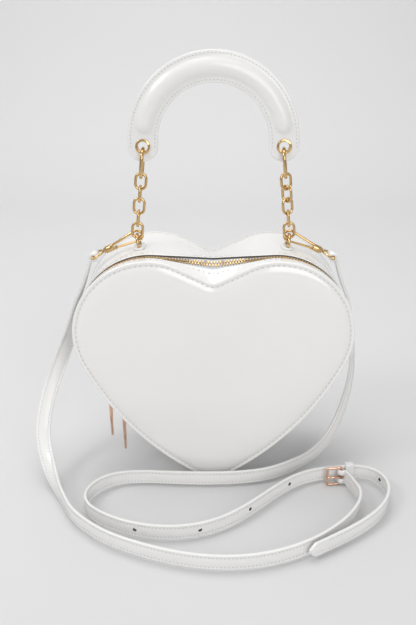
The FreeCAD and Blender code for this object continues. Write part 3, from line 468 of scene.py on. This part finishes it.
class PURSE_OT_panels(bpy.types.Operator):
    """Front and back hearts: a rolled rim, a sunk stitch line and a gently crowned face"""
    bl_idname = "purse.panels"
    bl_label = "Heart Panels"

    # Width of each step inwards from the outline, and its rise, in millimetres: the cut edge, the rolled rim,
    # the sunk line for the stitches, and the crown
    RIM = [(0.05, 1.0), (0.22, 0.34), (0.35, 0.2), (0.5, 0.06), (0.55, -0.04), (0.35, -0.12), (0.4, 0.0),
           (0.25, -0.2), (0.8, 0.0), (0.25, 0.26), (0.5, 0.2), (0.8, 0.3), (1.2, 0.34), (1.8, 0.34),
           (2.6, 0.3), (3.6, 0.24), (4.6, 0.14), (5.5, 0.06)]
    PACE = 2.0 * MM
    STITCH_DEPTH = 0.25 * MM

    def execute(self, context):
        pitch = context.scene.purse_sizes.stitch_pitch
        for name, side, body in (("front", FRONT, "front_shell"), ("back", BACK, "bag")):
            node = name + "_panel"
            low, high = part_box(node)
            inner, outer = (high.y, low.y) if side == FRONT else (low.y, high.y)
            points = heart_line(node, outer, Y_AXIS * side)
            bm = bmesh.new()
            face = bm.faces.new([bm.verts.new((p.x, inner, p.z))
                                 for p, heading, run in paced(points, self.PACE, True)])
            face.normal_update()
            if face.normal.y * side < 0:
                face.normal_flip()
            for inset, rise in self.RIM:
                bmesh.ops.inset_region(bm, faces=[face], thickness=inset * MM, depth=rise * MM,
                                       use_boundary=True, use_even_offset=True)
            bmesh.ops.edgenet_fill(bm, edges=[edge for edge in bm.edges if edge.is_boundary])
            bmesh.ops.recalc_face_normals(bm, faces=bm.faces)
            piece = put(node + "_leather", bm, "patent", body, smooth=60)
            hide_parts(node)
            board = name + "_board"
            edge = heart_line(board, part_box(board)[1 if side == BACK else 0].y, Y_AXIS * side)
            lie = outer - side * self.STITCH_DEPTH
            places = [(Vector((p.x, lie, p.z)), heading, Y_AXIS * side)
                      for p, heading, run in paced(edge, pitch, True)]
            seam(name + "_panel_stitches", body, slot_of(node), places, pitch)
        return {"FINISHED"}


class PURSE_OT_gussets(bpy.types.Operator):
    """The strips round the heart's edge, with a stitch row beside the zip"""
    bl_idname = "purse.gussets"
    bl_label = "Gussets"

    WALL = 1.8 * MM
    PACE = 1.6 * MM
    # The stitches lie on the leather, this far out from the tape under it
    STITCH_RISE = 2.0 * MM
    # The cut edge at the zip is painted near black: painted shade for the gap under the rear lip
    # The cut edge at the zip: how squarely its faces look along the depth, and how near the end they are
    CUT_FACING = 0.8
    CUT_DEPTH = 0.1 * MM

    def execute(self, context):
        pitch = context.scene.purse_sizes.stitch_pitch
        zip_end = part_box("front_zip_tape")[0].z
        seam_y, seam_line, lip_y, lip_line = slot_edges()
        for node, side in (("front_gusset", BACK), ("rear_gusset", FRONT)):
            low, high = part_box(node)
            start_y, end_y, line = (low.y, seam_y, seam_line) if side == BACK else (high.y, lip_y, lip_line)
            places = paced(heart_line(node, start_y, "out"), self.PACE, True)
            ends = [across_to(p, line, end_y if side == BACK or p.z > zip_end else low.y)
                    for p, heading, run in places]
            bm = strip(places, ends, self.WALL)
            piece = put(node + "_leather", bm, "patent", NODE_BODY[node], 50)
            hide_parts(node)
            # The cut edge's faces take the near-black material: painted shade in the zip slot
            piece.data.materials.append(finish_named("cut_edge_shade"))
            for polygon in piece.data.polygons:
                near = (polygon.center.y - end_y) * side > -self.CUT_DEPTH
                if near and polygon.normal.y * side > self.CUT_FACING:
                    polygon.material_index = 1
            seam(node + "_stitches", NODE_BODY[node], slot_of(node), self.stitch_places(node, pitch), pitch)
        return {"FINISHED"}

    def stitch_places(self, node, pitch):
        """A row on the leather over the far edge of the zip tape."""
        tape = node.split("_")[0] + "_zip_tape"
        low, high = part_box(tape)
        line = heart_line(tape, low.y if node == "front_gusset" else high.y, "out")
        places = []
        for p, heading, run in paced(line, pitch, False):
            out = outward(heading, p)
            places.append((p + out * self.STITCH_RISE, heading, out))
        return places


class PURSE_OT_zip(bpy.types.Operator):
    """Woven tapes, two rows of metal teeth, sliders and pulls"""
    bl_idname = "purse.zip"
    bl_label = "Zip"

    # A tooth's length as a share of the pitch, its width as a share of the row, its height, and the depth of
    # its middle below the slot's edges
    TOOTH_LENGTH = 0.52
    TOOTH_WIDTH = 1.12
    TOOTH_HEIGHT = 2.2 * MM
    TOOTH_SINK = 1.6 * MM
    TOOTH_BEVEL = 0.22 * MM

    def execute(self, context):
        pitch = context.scene.purse_sizes.tooth_pitch
        seam_y, seam_line, lip_y, lip_line = slot_edges()
        zip_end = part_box("front_zip_tape")[0].z
        for row, side in (("front", FRONT), ("rear", BACK)):
            dress(row + "_zip_tape", "tape", smooth=5)
            node = row + "_zip_teeth"
            low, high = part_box(node)
            share = ((low.y + high.y) / 2 - seam_y) / (lip_y - seam_y)
            bm = bmesh.new()
            for p, heading, run in paced(seam_line, pitch, True):
                if p.z < zip_end:
                    continue
                over = across_to(p, lip_line, lip_y) - p
                up = heading.cross(over).normalized()
                if up.dot(outward(heading, p)) < 0:
                    up = -up
                place = p + over * share - up * self.TOOTH_SINK + heading * (pitch / 4 * side)
                made = bmesh.ops.create_cube(bm, size=1.0)
                shape = Matrix.Diagonal((pitch * self.TOOTH_LENGTH, (high.y - low.y) * self.TOOTH_WIDTH,
                                         self.TOOTH_HEIGHT, 1))
                bmesh.ops.transform(bm, matrix=seat(place, heading, up) @ shape, verts=made["verts"])
            bmesh.ops.bevel(bm, geom=list(bm.edges), offset=self.TOOTH_BEVEL, offset_type="OFFSET",
                            affect="EDGES", segments=1, profile=0.5, material=-1)
            piece = put(node + "_row", bm, "gold", NODE_BODY[node])
            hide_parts(node)
        for name in ("upper", "lower"):
            dress("zip_slider_" + name, "rose", bevel=0.3 * MM)
            dress("zip_pull_" + name, "rose", bevel=0.25 * MM)
        return {"FINISHED"}


class PURSE_OT_handle(bpy.types.Operator):
    """The padded arch, its stitch rows and its grommets"""
    bl_idname = "purse.handle"
    bl_label = "Handle"

    SMOOTHING_TURNS = 4
    # The stitch rows: their distance from the band's edge, and the thread's height over the flat leather
    BORDER = 2.3 * MM
    LEATHER = 1.5 * MM
    THREAD_RISE = 0.1 * MM
    ARC_STEPS = 64

    def execute(self, context):
        sizes = context.scene.purse_sizes
        bm = node_bmesh("handle_front_leather", "handle_back_leather", "handle_padding")
        slot = slot_of("handle_front_leather")
        piece = put("handle_arch", bm, "handle_leather", "handle", smooth=180)
        remesh = piece.modifiers.new("weld", "REMESH")
        remesh.mode = "VOXEL"
        remesh.voxel_size = sizes.handle_voxel
        remesh.use_smooth_shade = True
        mesh = bpy.data.meshes.new_from_object(piece.evaluated_get(context.evaluated_depsgraph_get()))
        piece.modifiers.clear()
        bm = bmesh.new()
        bm.from_mesh(mesh)
        for turn in range(self.SMOOTHING_TURNS):
            bmesh.ops.smooth_vert(bm, verts=bm.verts, factor=0.5, use_axis_x=True, use_axis_y=True,
                                  use_axis_z=True)
        bm.to_mesh(mesh)
        bm.free()
        for polygon in mesh.polygons:
            polygon.use_smooth = True
        mesh.materials.clear()
        mesh.materials.append(finish_named("handle_leather"))
        piece.data = mesh
        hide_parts("handle_front_leather", "handle_back_leather", "handle_padding")
        self.stitch(sizes.fine_pitch, slot)
        for name in ("left", "right"):
            dress("eyelet_" + name, "gold", bevel=0.25 * MM)
        return {"FINISHED"}

    def stitch(self, pitch, slot):
        """A row near each edge of the band, on both faces: up one leg, round the arch and down the other."""
        low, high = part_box("handle_front_leather")
        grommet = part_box("eyelet_right")
        hub = (grommet[0] + grommet[1]) / 2
        radius = hub.x
        spring = Vector((0, 0, high.z - (high.x - low.x) / 2))
        half = (high.x - low.x) / 2 - radius
        turns = [math.pi * step / self.ARC_STEPS for step in range(self.ARC_STEPS + 1)]
        for name, side in (("front", FRONT), ("back", BACK)):
            lie = side * (self.LEATHER + self.THREAD_RISE)
            places = []
            for reach in (radius + half - self.BORDER, radius - half + self.BORDER):
                arch = [spring + Vector((-math.cos(turn), 0, math.sin(turn))) * reach for turn in turns]
                line = [Vector((-reach, 0, hub.z))] + arch + [Vector((reach, 0, hub.z))]
                for p, heading, run in paced(line, pitch, False):
                    places.append((Vector((p.x, lie, p.z)), heading, Y_AXIS * side))
            seam("handle_stitches_" + name, "handle", slot, places, pitch)


class PURSE_OT_chains(bpy.types.Operator):
    """Rings, links and the anchors that they hang from"""
    bl_idname = "purse.chains"
    bl_label = "Chains"

    def execute(self, context):
        for name in ("left", "right"):
            dress("chain_ring_" + name, "gold", smooth=60)
            for number in range(1, 6):
                dress("chain_link_%s_%d" % (name, number), "gold", smooth=60)
            dress("anchor_" + name, "gold", smooth=60)
            dress("anchor_tab_" + name, "patent", bevel=0.4 * MM)
        return {"FINISHED"}


class PURSE_OT_hooks(bpy.types.Operator):
    """Snap hooks, their gates and swivel eyes"""
    bl_idname = "purse.hooks"
    bl_label = "Snap Hooks"

    def execute(self, context):
        for name in ("left", "right"):
            dress("snap_hook_" + name, "gold", bevel=0.3 * MM, smooth=50)
            dress("hook_gate_" + name, "gold", bevel=0.2 * MM, smooth=50)
            dress("swivel_eye_" + name, "gold", smooth=60)
        return {"FINISHED"}


class PURSE_OT_buckle(bpy.types.Operator):
    """The buckle, its prong and the leather keeper"""
    bl_idname = "purse.buckle"
    bl_label = "Buckle"

    def execute(self, context):
        dress("buckle_frame", "rose", smooth=60)
        dress("buckle_prong", "rose", smooth=60)
        dress("strap_keeper", "strap_leather", bevel=0.4 * MM)
        return {"FINISHED"}


# Strap routes in millimetres, as the solids have them. The hanging stretch gives the way out from the heart's
# side, y and the height over the tip, each with the direction of the strap's width. The stretch on the floor
# gives points in plan, and so do the punched holes.
SHORT_HANG = [
    ((-5.5, 3, 158), (0, 1, 0)), ((3, 3, 140), (0.2, 1, 0)), ((7.5, 2, 120), (0.6, 0.8, 0)),
    ((14.5, 0, 100), (0.9, 0.4, 0)), ((24.5, -7, 76), (1, 0.1, -0.3)), ((32.5, -18, 52), (1, 0, -0.35)),
    ((33.5, -31, 31), (1, 0, 0)), ((26.5, -47, 15), (0.85, 0, 0.5)), ((17.5, -64, 7), (0.3, 0, 1)),
]
LONG_HANG = [
    ((-5.5, 3, 158), (0, 1, 0)), ((3, 4, 140), (0.1, 1, 0)), ((7.5, 6, 118), (0.2, 1, 0)),
    ((10.5, 8, 94), (0.35, 0.95, 0)), ((11.5, 8, 70), (0.5, 0.85, 0)), ((7.5, 5, 46), (0.7, 0.7, 0)),
    ((-0.5, -2, 25), (0.75, 0.6, -0.3)), ((-12.5, -12, 11), (0.5, 0.4, -0.75)),
]
SHORT_FLOOR = [
    (-116, -80), (-107, -97), (-92, -112), (-74, -125), (-50, -136), (-24, -144.5), (4, -148.5),
    (30, -146.5), (54, -139), (76, -127), (96, -110), (110, -92), (115.5, -76), (112.5, -61.5),
    (106.9, -47.5),
]
LONG_FLOOR = [
    (80, -24), (64, -36), (44, -47), (20, -51.5), (-6, -52.5), (-32, -51.5), (-56, -49.5), (-78, -51.5),
    (-93, -61), (-100, -76), (-97, -90), (-85, -101), (-68, -110.5), (-46, -117), (-22, -117.5),
    (0, -111), (19, -98.5), (36, -82.5), (52, -66.5), (68, -53.5), (85, -46.5), (104, -43.5),
    (120, -42), (132.5, -47.5), (139, -60), (137, -78), (126, -96), (108, -112), (88, -125.5), (67, -138),
]
PUNCHED = [(-57, -113.75), (-11, -114.25), (27.5, -90.5), (60, -60), (135.75, -53.75)]


def spline_points(points, steps):
    """Points read from a smooth spline with these control points."""
    curve = bpy.data.curves.new("route", "CURVE")
    curve.dimensions = "3D"
    spline = curve.splines.new("NURBS")
    spline.points.add(len(points) - 1)
    for place, point in zip(spline.points, points):
        place.co = (*point, 1)
    spline.order_u = 3
    spline.use_endpoint_u = True
    spline.resolution_u = steps
    holder = bpy.data.objects.new("route", curve)
    mesh = bpy.data.meshes.new_from_object(holder)
    read = [v.co.copy() for v in mesh.vertices]
    bpy.data.objects.remove(holder)
    bpy.data.curves.remove(curve)
    bpy.data.meshes.remove(mesh)
    return read


class Ribbon:
    """A flat strap along a route: its middle line, and its width and face directions from place to place."""

    EASE = 0.5 * MM
    # The sunk line for the stitches: its four corners from the strap's edge, and its depth
    GROOVE = (1.5 * MM, 1.9 * MM, 2.5 * MM, 2.9 * MM)
    GROOVE_DEPTH = 0.14 * MM
    # The thread's middle: its distance from the strap's edge, and its depth below the flat face
    STITCH_LINE = 2.2 * MM
    THREAD_SINK = 0.02 * MM
    # The round tip's end, as a share of the strap's width
    TIP_WIDTH = 0.25

    def __init__(self, route, width, steps):
        middle = [point for point, way in route]
        edge = [point + way.normalized() * (width / 2) for point, way in route]
        self.line = spline_points(middle, steps)
        self.across, self.face, self.heading = [], [], []
        for index, (place, rim) in enumerate(zip(self.line, spline_points(edge, steps))):
            ahead = self.line[min(index + 1, len(self.line) - 1)]
            behind = self.line[max(index - 1, 0)]
            heading = (ahead - behind).normalized()
            across = rim - place
            across = (across - heading * across.dot(heading)).normalized()
            self.heading.append(heading)
            self.across.append(across)
            self.face.append(heading.cross(across).normalized())

    def place(self, index, across, through):
        return self.line[index] + self.across[index] * across + self.face[index] * through

    def mesh(self, width, thickness, round_tip=False):
        """A closed band with eased edges and a sunk line along each edge for the stitches."""
        a, b = width / 2, thickness / 2
        sinks = (0, self.GROOVE_DEPTH, self.GROOVE_DEPTH, 0)
        side = [(-a, -b + self.EASE), (-a + self.EASE, -b)]
        side += [(-a + corner, -b + sink) for corner, sink in zip(self.GROOVE, sinks)]
        half = side + [(-x, y) for x, y in reversed(side)]
        ring = half + [(-x, -y) for x, y in half]
        bm = bmesh.new()
        bmesh.ops.create_grid(bm, x_segments=len(ring), y_segments=len(self.line) - 1, size=1.0)
        for vert in bm.verts:
            column = round((vert.co.x + 1) / 2 * len(ring)) % len(ring)
            row = round((vert.co.y + 1) / 2 * (len(self.line) - 1))
            across, through = ring[column]
            if round_tip:
                left = sum((q - p).length for p, q in zip(self.line[row:], self.line[row + 1:]))
                if left < a:
                    across *= max(self.TIP_WIDTH, math.sqrt(1 - (1 - left / a) ** 2))
            vert.co = self.place(row, across, through)
        bmesh.ops.remove_doubles(bm, verts=bm.verts, dist=BAND_WELD)
        bmesh.ops.holes_fill(bm, edges=[edge for edge in bm.edges if edge.is_boundary], sides=0)
        bmesh.ops.recalc_face_normals(bm, faces=bm.faces)
        return bm

    def stitches(self, width, thickness, pitch, first, last):
        """Places for the stitches near both edges, on both faces."""
        places = []
        count = len(self.line[first:last])
        for across in (self.STITCH_LINE - width / 2, width / 2 - self.STITCH_LINE):
            for side in (-1, 1):
                through = side * (thickness / 2 - self.THREAD_SINK)
                line = [self.place(first + index, across, through) for index in range(count)]
                for p, heading, run in paced(line, pitch, False):
                    places.append((p, heading, self.face[first + run] * side))
        return places


def fold(name, place, axis, reach, stretches):
    """Leather folded round a bar: rings between two radii, over some lengths of the bar."""
    bm = bmesh.new()
    inner, outer = reach
    ease = 0.4 * MM
    start = X_AXIS if abs(axis.x) < 0.5 else Z_AXIS
    for low, high in stretches:
        ring = [(inner, low + ease), (inner + ease, low), (outer - ease, low), (outer, low + ease),
                (outer, high - ease), (outer - ease, high), (inner + ease, high), (inner, high - ease)]
        verts = [bm.verts.new(place + start * r + axis * h) for r, h in ring]
        edges = [bm.edges.new((p, q)) for p, q in zip(verts, verts[1:] + verts[:1])]
        bmesh.ops.spin(bm, geom=verts + edges, cent=place, axis=axis, angle=2 * math.pi, steps=32,
                       use_merge=True)
    bmesh.ops.remove_doubles(bm, verts=bm.verts, dist=BAND_WELD)
    bmesh.ops.recalc_face_normals(bm, faces=bm.faces)
    return put(name, bm, "strap_leather", "bag", smooth=50)


class PURSE_OT_strap(bpy.types.Operator):
    """The shoulder strap: a short half that carries the buckle, and a long punched half"""
    bl_idname = "purse.strap"
    bl_label = "Shoulder Strap"

    # The inside of a fold round a bar, the swivel eye's bar, and half the slot for the prong
    FOLD_RADIUS = 1.3 * MM
    EYE_BAR_RADIUS = 1.0 * MM
    HALF_SLOT = 1.8 * MM
    HOLE_RADIUS = 1.5 * MM
    PUNCH_LENGTH = 8 * MM
    # Samples of the line that stay unsewn at its two ends
    UNSEWN = (2, 4)

    def execute(self, context):
        sizes = context.scene.purse_sizes
        width, thickness = sizes.strap_width, sizes.strap_thickness
        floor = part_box("long_strap_floor")
        level = (floor[0].z + floor[1].z) / 2
        reach = self.FOLD_RADIUS, self.FOLD_RADIUS + thickness
        for name, eye, side, hang, plan in (("short", "left", -1, SHORT_HANG, SHORT_FLOOR),
                                            ("long", "right", 1, LONG_HANG, LONG_FLOOR)):
            low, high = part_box("swivel_eye_" + eye)
            outer = low.x if side < 0 else high.x
            bar = Vector((outer - side * self.EYE_BAR_RADIUS, (low.y + high.y) / 2,
                          low.z + self.EYE_BAR_RADIUS))
            fold_piece = fold(name + "_strap_fold", bar, Y_AXIS, reach, [(-width / 2, width / 2)])
            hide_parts(name + "_strap_riser")
            route = [(bar + X_AXIS * (side * (reach[0] + reach[1]) / 2), Y_AXIS)]
            for (out, y, height), way in hang:
                route.append((Vector((side * (HEART_HIGH.x + out * MM), y * MM, HEART_LOW.z + height * MM)),
                              Vector(way)))
            upright = Z_AXIS if hang[-1][1][2] > 0 else -Z_AXIS
            route += [(Vector((x * MM, y * MM, level)), upright) for x, y in plan]
            ribbon = Ribbon(route, width, sizes.strap_steps)
            bm = ribbon.mesh(width, thickness, round_tip=name == "long")
            strap = put(name + "_strap", bm, "strap_leather", "bag", smooth=35)
            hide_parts(name + "_strap_riser", name + "_strap_floor")
            places = ribbon.stitches(width, thickness, sizes.fine_pitch, self.UNSEWN[0], -self.UNSEWN[1])
            sewn = seam(name + "_strap_stitches", "bag", "strap", places, sizes.fine_pitch)
            if name == "short":
                hardware = [bpy.data.objects[piece]
                            for piece in ("buckle_frame_dressed", "buckle_prong_dressed")]
                hardware += [sewn, self.buckle_fold(reach, width)]
            else:
                self.punch(strap, ribbon)
        return {"FINISHED"}

    def buckle_fold(self, reach, width):
        """The short half's end round the buckle's bar, split for the prong."""
        low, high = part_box("buckle_prong")
        joints = {joint["name"]: joint for joint in frame["record"]["behaviour"]["joints"]}
        x, y = joints["prong_turn"]["pos_m"][:2]
        bar = Vector((x, y, (low.z + high.z) / 2))
        stretches = [(-width / 2, -self.HALF_SLOT), (self.HALF_SLOT, width / 2)]
        piece = fold("buckle_fold", bar, Z_AXIS, reach, stretches)
        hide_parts("short_strap_floor")
        return piece

    def punch(self, strap, ribbon):
        """Round holes for the prong, cut through the strap."""
        bm = bmesh.new()
        for x, y in PUNCHED:
            mark = Vector((x * MM, y * MM, ribbon.line[-1].z))
            index = min(range(len(ribbon.line)), key=lambda i: (ribbon.line[i] - mark).length)
            made = bmesh.ops.create_cone(bm, cap_ends=True, segments=20, radius1=self.HOLE_RADIUS,
                                         radius2=self.HOLE_RADIUS, depth=self.PUNCH_LENGTH)
            turn = seat(ribbon.line[index], ribbon.heading[index], ribbon.face[index])
            bmesh.ops.transform(bm, matrix=turn, verts=made["verts"])
        mesh = bpy.data.meshes.new("punches")
        bm.to_mesh(mesh)
        bm.free()
        # The holes' walls take the near-black material: painted shade for the dark inside of each hole
        mesh.materials.append(finish_named("cut_edge_shade"))
        cutter = bpy.data.objects.new("punches", mesh)
        bpy.context.collection.objects.link(cutter)
        cut = strap.modifiers.new("punch", "BOOLEAN")
        cut.object = cutter
        cut.solver = "EXACT"
        cut.material_mode = "TRANSFER"
        punched = bpy.data.meshes.new_from_object(strap.evaluated_get(bpy.context.evaluated_depsgraph_get()))
        strap.modifiers.clear()
        strap.data = punched
        bpy.data.objects.remove(cutter)


class PURSE_OT_inside(bpy.types.Operator):
    """Lining cloth and stiffening boards"""
    bl_idname = "purse.inside"
    bl_label = "Inside"

    def execute(self, context):
        for node in ("front_lining", "back_lining", "gusset_lining"):
            dress(node, "lining")
        for node in ("front_board", "back_board"):
            dress(node, "board")
        return {"FINISHED"}


class PURSE_OT_stage(bpy.types.Operator):
    """Pale floor and backdrop, soft lights and the camera"""
    bl_idname = "purse.stage"
    bl_label = "Stage"

    # The paper sweep, in metres: half its width, its near end, the end of its flat floor, its bend, its top
    SIDE, NEAR, FLAT_END, BEND, TOP = 8.0, -8.0, 0.9, 0.5, 2.2
    # Painted light and shade: the paper is darker near the camera, where the front lamp lights it most, and
    # lighter up the backdrop, where less light falls. Its tone goes from near to far, from this distance in
    # front of the origin and over this length, with some unevenness
    FADE_FROM, FADE_LENGTH, FADE_NOISE = 0.35, 1.6, 0.05
    NEAR_TONE, FAR_TONE = 0.88, 1.17
    WORLD_COLOUR, WORLD_STRENGTH = (0.96, 0.957, 0.95), 0.54
    # Name, place, width and power of each lamp, and the place that all of them face
    LAMPS = (
        ("overhead_softbox", Vector((-0.15, 0.22, 1.15)), 1.2, 10.6),
        ("front_softbox", Vector((0.45, -1.35, 0.35)), 0.9, 6.7),
        ("left_softbox", Vector((-0.9, -0.5, 0.75)), 0.35, 3.6),
    )
    TARGET = Vector((0, 0, -0.2))
    # The camera that fits the photo: sensor and lens in millimetres, its place, and how far it looks down
    SENSOR, LENS = 24.0, 26.34
    EYE = (-0.0041, -0.5172, 0.0341)
    LOOK_DOWN = 22.3

    def execute(self, context):
        scene = context.scene
        backdrop = tuple(scene.purse_colours.backdrop)
        sweep = bpy.data.objects.new("studio_sweep", self.sweep_mesh())
        context.collection.objects.link(sweep)
        paper = Finish("studio_paper", roughness=0.9)
        # Painted light and shade: the paper's colour runs from darker near to lighter far
        depth = (paper.place("Y") + self.FADE_FROM) / self.FADE_LENGTH + paper.noise(3) * self.FADE_NOISE
        paper.set({"Base Color": paper.mix(depth, shade(backdrop, self.NEAR_TONE),
                                           shade(backdrop, self.FAR_TONE))})
        sweep.data.materials.append(paper.material)
        self.lights(scene)
        self.camera(scene)
        return {"FINISHED"}

    def sweep_mesh(self):
        """A floor that bends up into a backdrop, drawn at one side and pulled across."""
        bm = bmesh.new()
        near, far = (bm.verts.new((-self.SIDE, y, FLOOR_Z)) for y in (self.NEAR, self.FLAT_END))
        bm.edges.new((near, far))
        centre = (-self.SIDE, self.FLAT_END, FLOOR_Z + self.BEND)
        bend = bmesh.ops.spin(bm, geom=[far], cent=centre, axis=X_AXIS, angle=math.pi / 2, steps=16,
                              use_duplicate=False)
        last = [v for v in bend["geom_last"] if isinstance(v, bmesh.types.BMVert)][0]
        top = bm.verts.new((-self.SIDE, last.co.y, self.TOP))
        bm.edges.new((last, top))
        run = bmesh.ops.extrude_edge_only(bm, edges=bm.edges)
        moved = [v for v in run["geom"] if isinstance(v, bmesh.types.BMVert)]
        bmesh.ops.translate(bm, verts=moved, vec=(2 * self.SIDE, 0, 0))
        bmesh.ops.recalc_face_normals(bm, faces=bm.faces)
        mesh = bpy.data.meshes.new("studio_sweep")
        bm.to_mesh(mesh)
        bm.free()
        for polygon in mesh.polygons:
            polygon.use_smooth = True
        return mesh

    def lights(self, scene):
        world = bpy.data.worlds.new("studio")
        scene.world = world
        world.use_nodes = True
        sky = world.node_tree.nodes["Background"].inputs
        sky["Color"].default_value = (*self.WORLD_COLOUR, 1)
        sky["Strength"].default_value = self.WORLD_STRENGTH
        for name, place, width, power in self.LAMPS:
            lamp = bpy.data.lights.new(name, "AREA")
            lamp.shape = "SQUARE"
            lamp.size = width
            lamp.energy = power
            holder = bpy.data.objects.new(name, lamp)
            holder.location = place
            holder.rotation_euler = (self.TARGET - place).to_track_quat("-Z", "Y").to_euler()
            bpy.context.collection.objects.link(holder)

    def camera(self, scene):
        view = bpy.data.cameras.new("photo_view")
        view.sensor_fit = "VERTICAL"
        view.sensor_height = self.SENSOR
        view.lens = self.LENS
        view.clip_start = 0.01
        holder = bpy.data.objects.new("photo_view", view)
        holder.location = self.EYE
        holder.rotation_euler = (math.radians(90 - self.LOOK_DOWN), 0, 0)
        bpy.context.collection.objects.link(holder)
        scene.camera = holder
        scene.view_settings.view_transform = "Standard"


class PURSE_PT_panel(bpy.types.Panel):
    bl_idname = "PURSE_PT_panel"
    bl_label = "Heart Purse"
    bl_space_type = "VIEW_3D"
    bl_region_type = "UI"
    bl_category = "Purse"

    def draw(self, context):
        for operator in OPERATORS:
            self.layout.operator(operator.bl_idname)
        for group in (context.scene.purse_sizes, context.scene.purse_colours):
            for name in group.__annotations__:
                self.layout.prop(group, name)


OPERATORS = (PURSE_OT_panels, PURSE_OT_gussets, PURSE_OT_zip, PURSE_OT_handle, PURSE_OT_chains,
             PURSE_OT_hooks, PURSE_OT_buckle, PURSE_OT_strap, PURSE_OT_inside, PURSE_OT_stage)
CLASSES = (PurseSizes, PurseColours, *OPERATORS, PURSE_PT_panel)


def register():
    for made in CLASSES:
        bpy.utils.register_class(made)
    bpy.types.Scene.purse_sizes = PointerProperty(type=PurseSizes)
    bpy.types.Scene.purse_colours = PointerProperty(type=PurseColours)


def unregister():
    del bpy.types.Scene.purse_colours
    del bpy.types.Scene.purse_sizes
    for made in reversed(CLASSES):
        bpy.utils.unregister_class(made)


def main():
    register()
    bpy.ops.purse.panels()
    bpy.ops.purse.gussets()
    bpy.ops.purse.zip()
    bpy.ops.purse.handle()
    bpy.ops.purse.chains()
    bpy.ops.purse.hooks()
    bpy.ops.purse.buckle()
    bpy.ops.purse.strap()
    bpy.ops.purse.inside()
    bpy.ops.purse.stage()


if __name__ == "__main__":
    main()
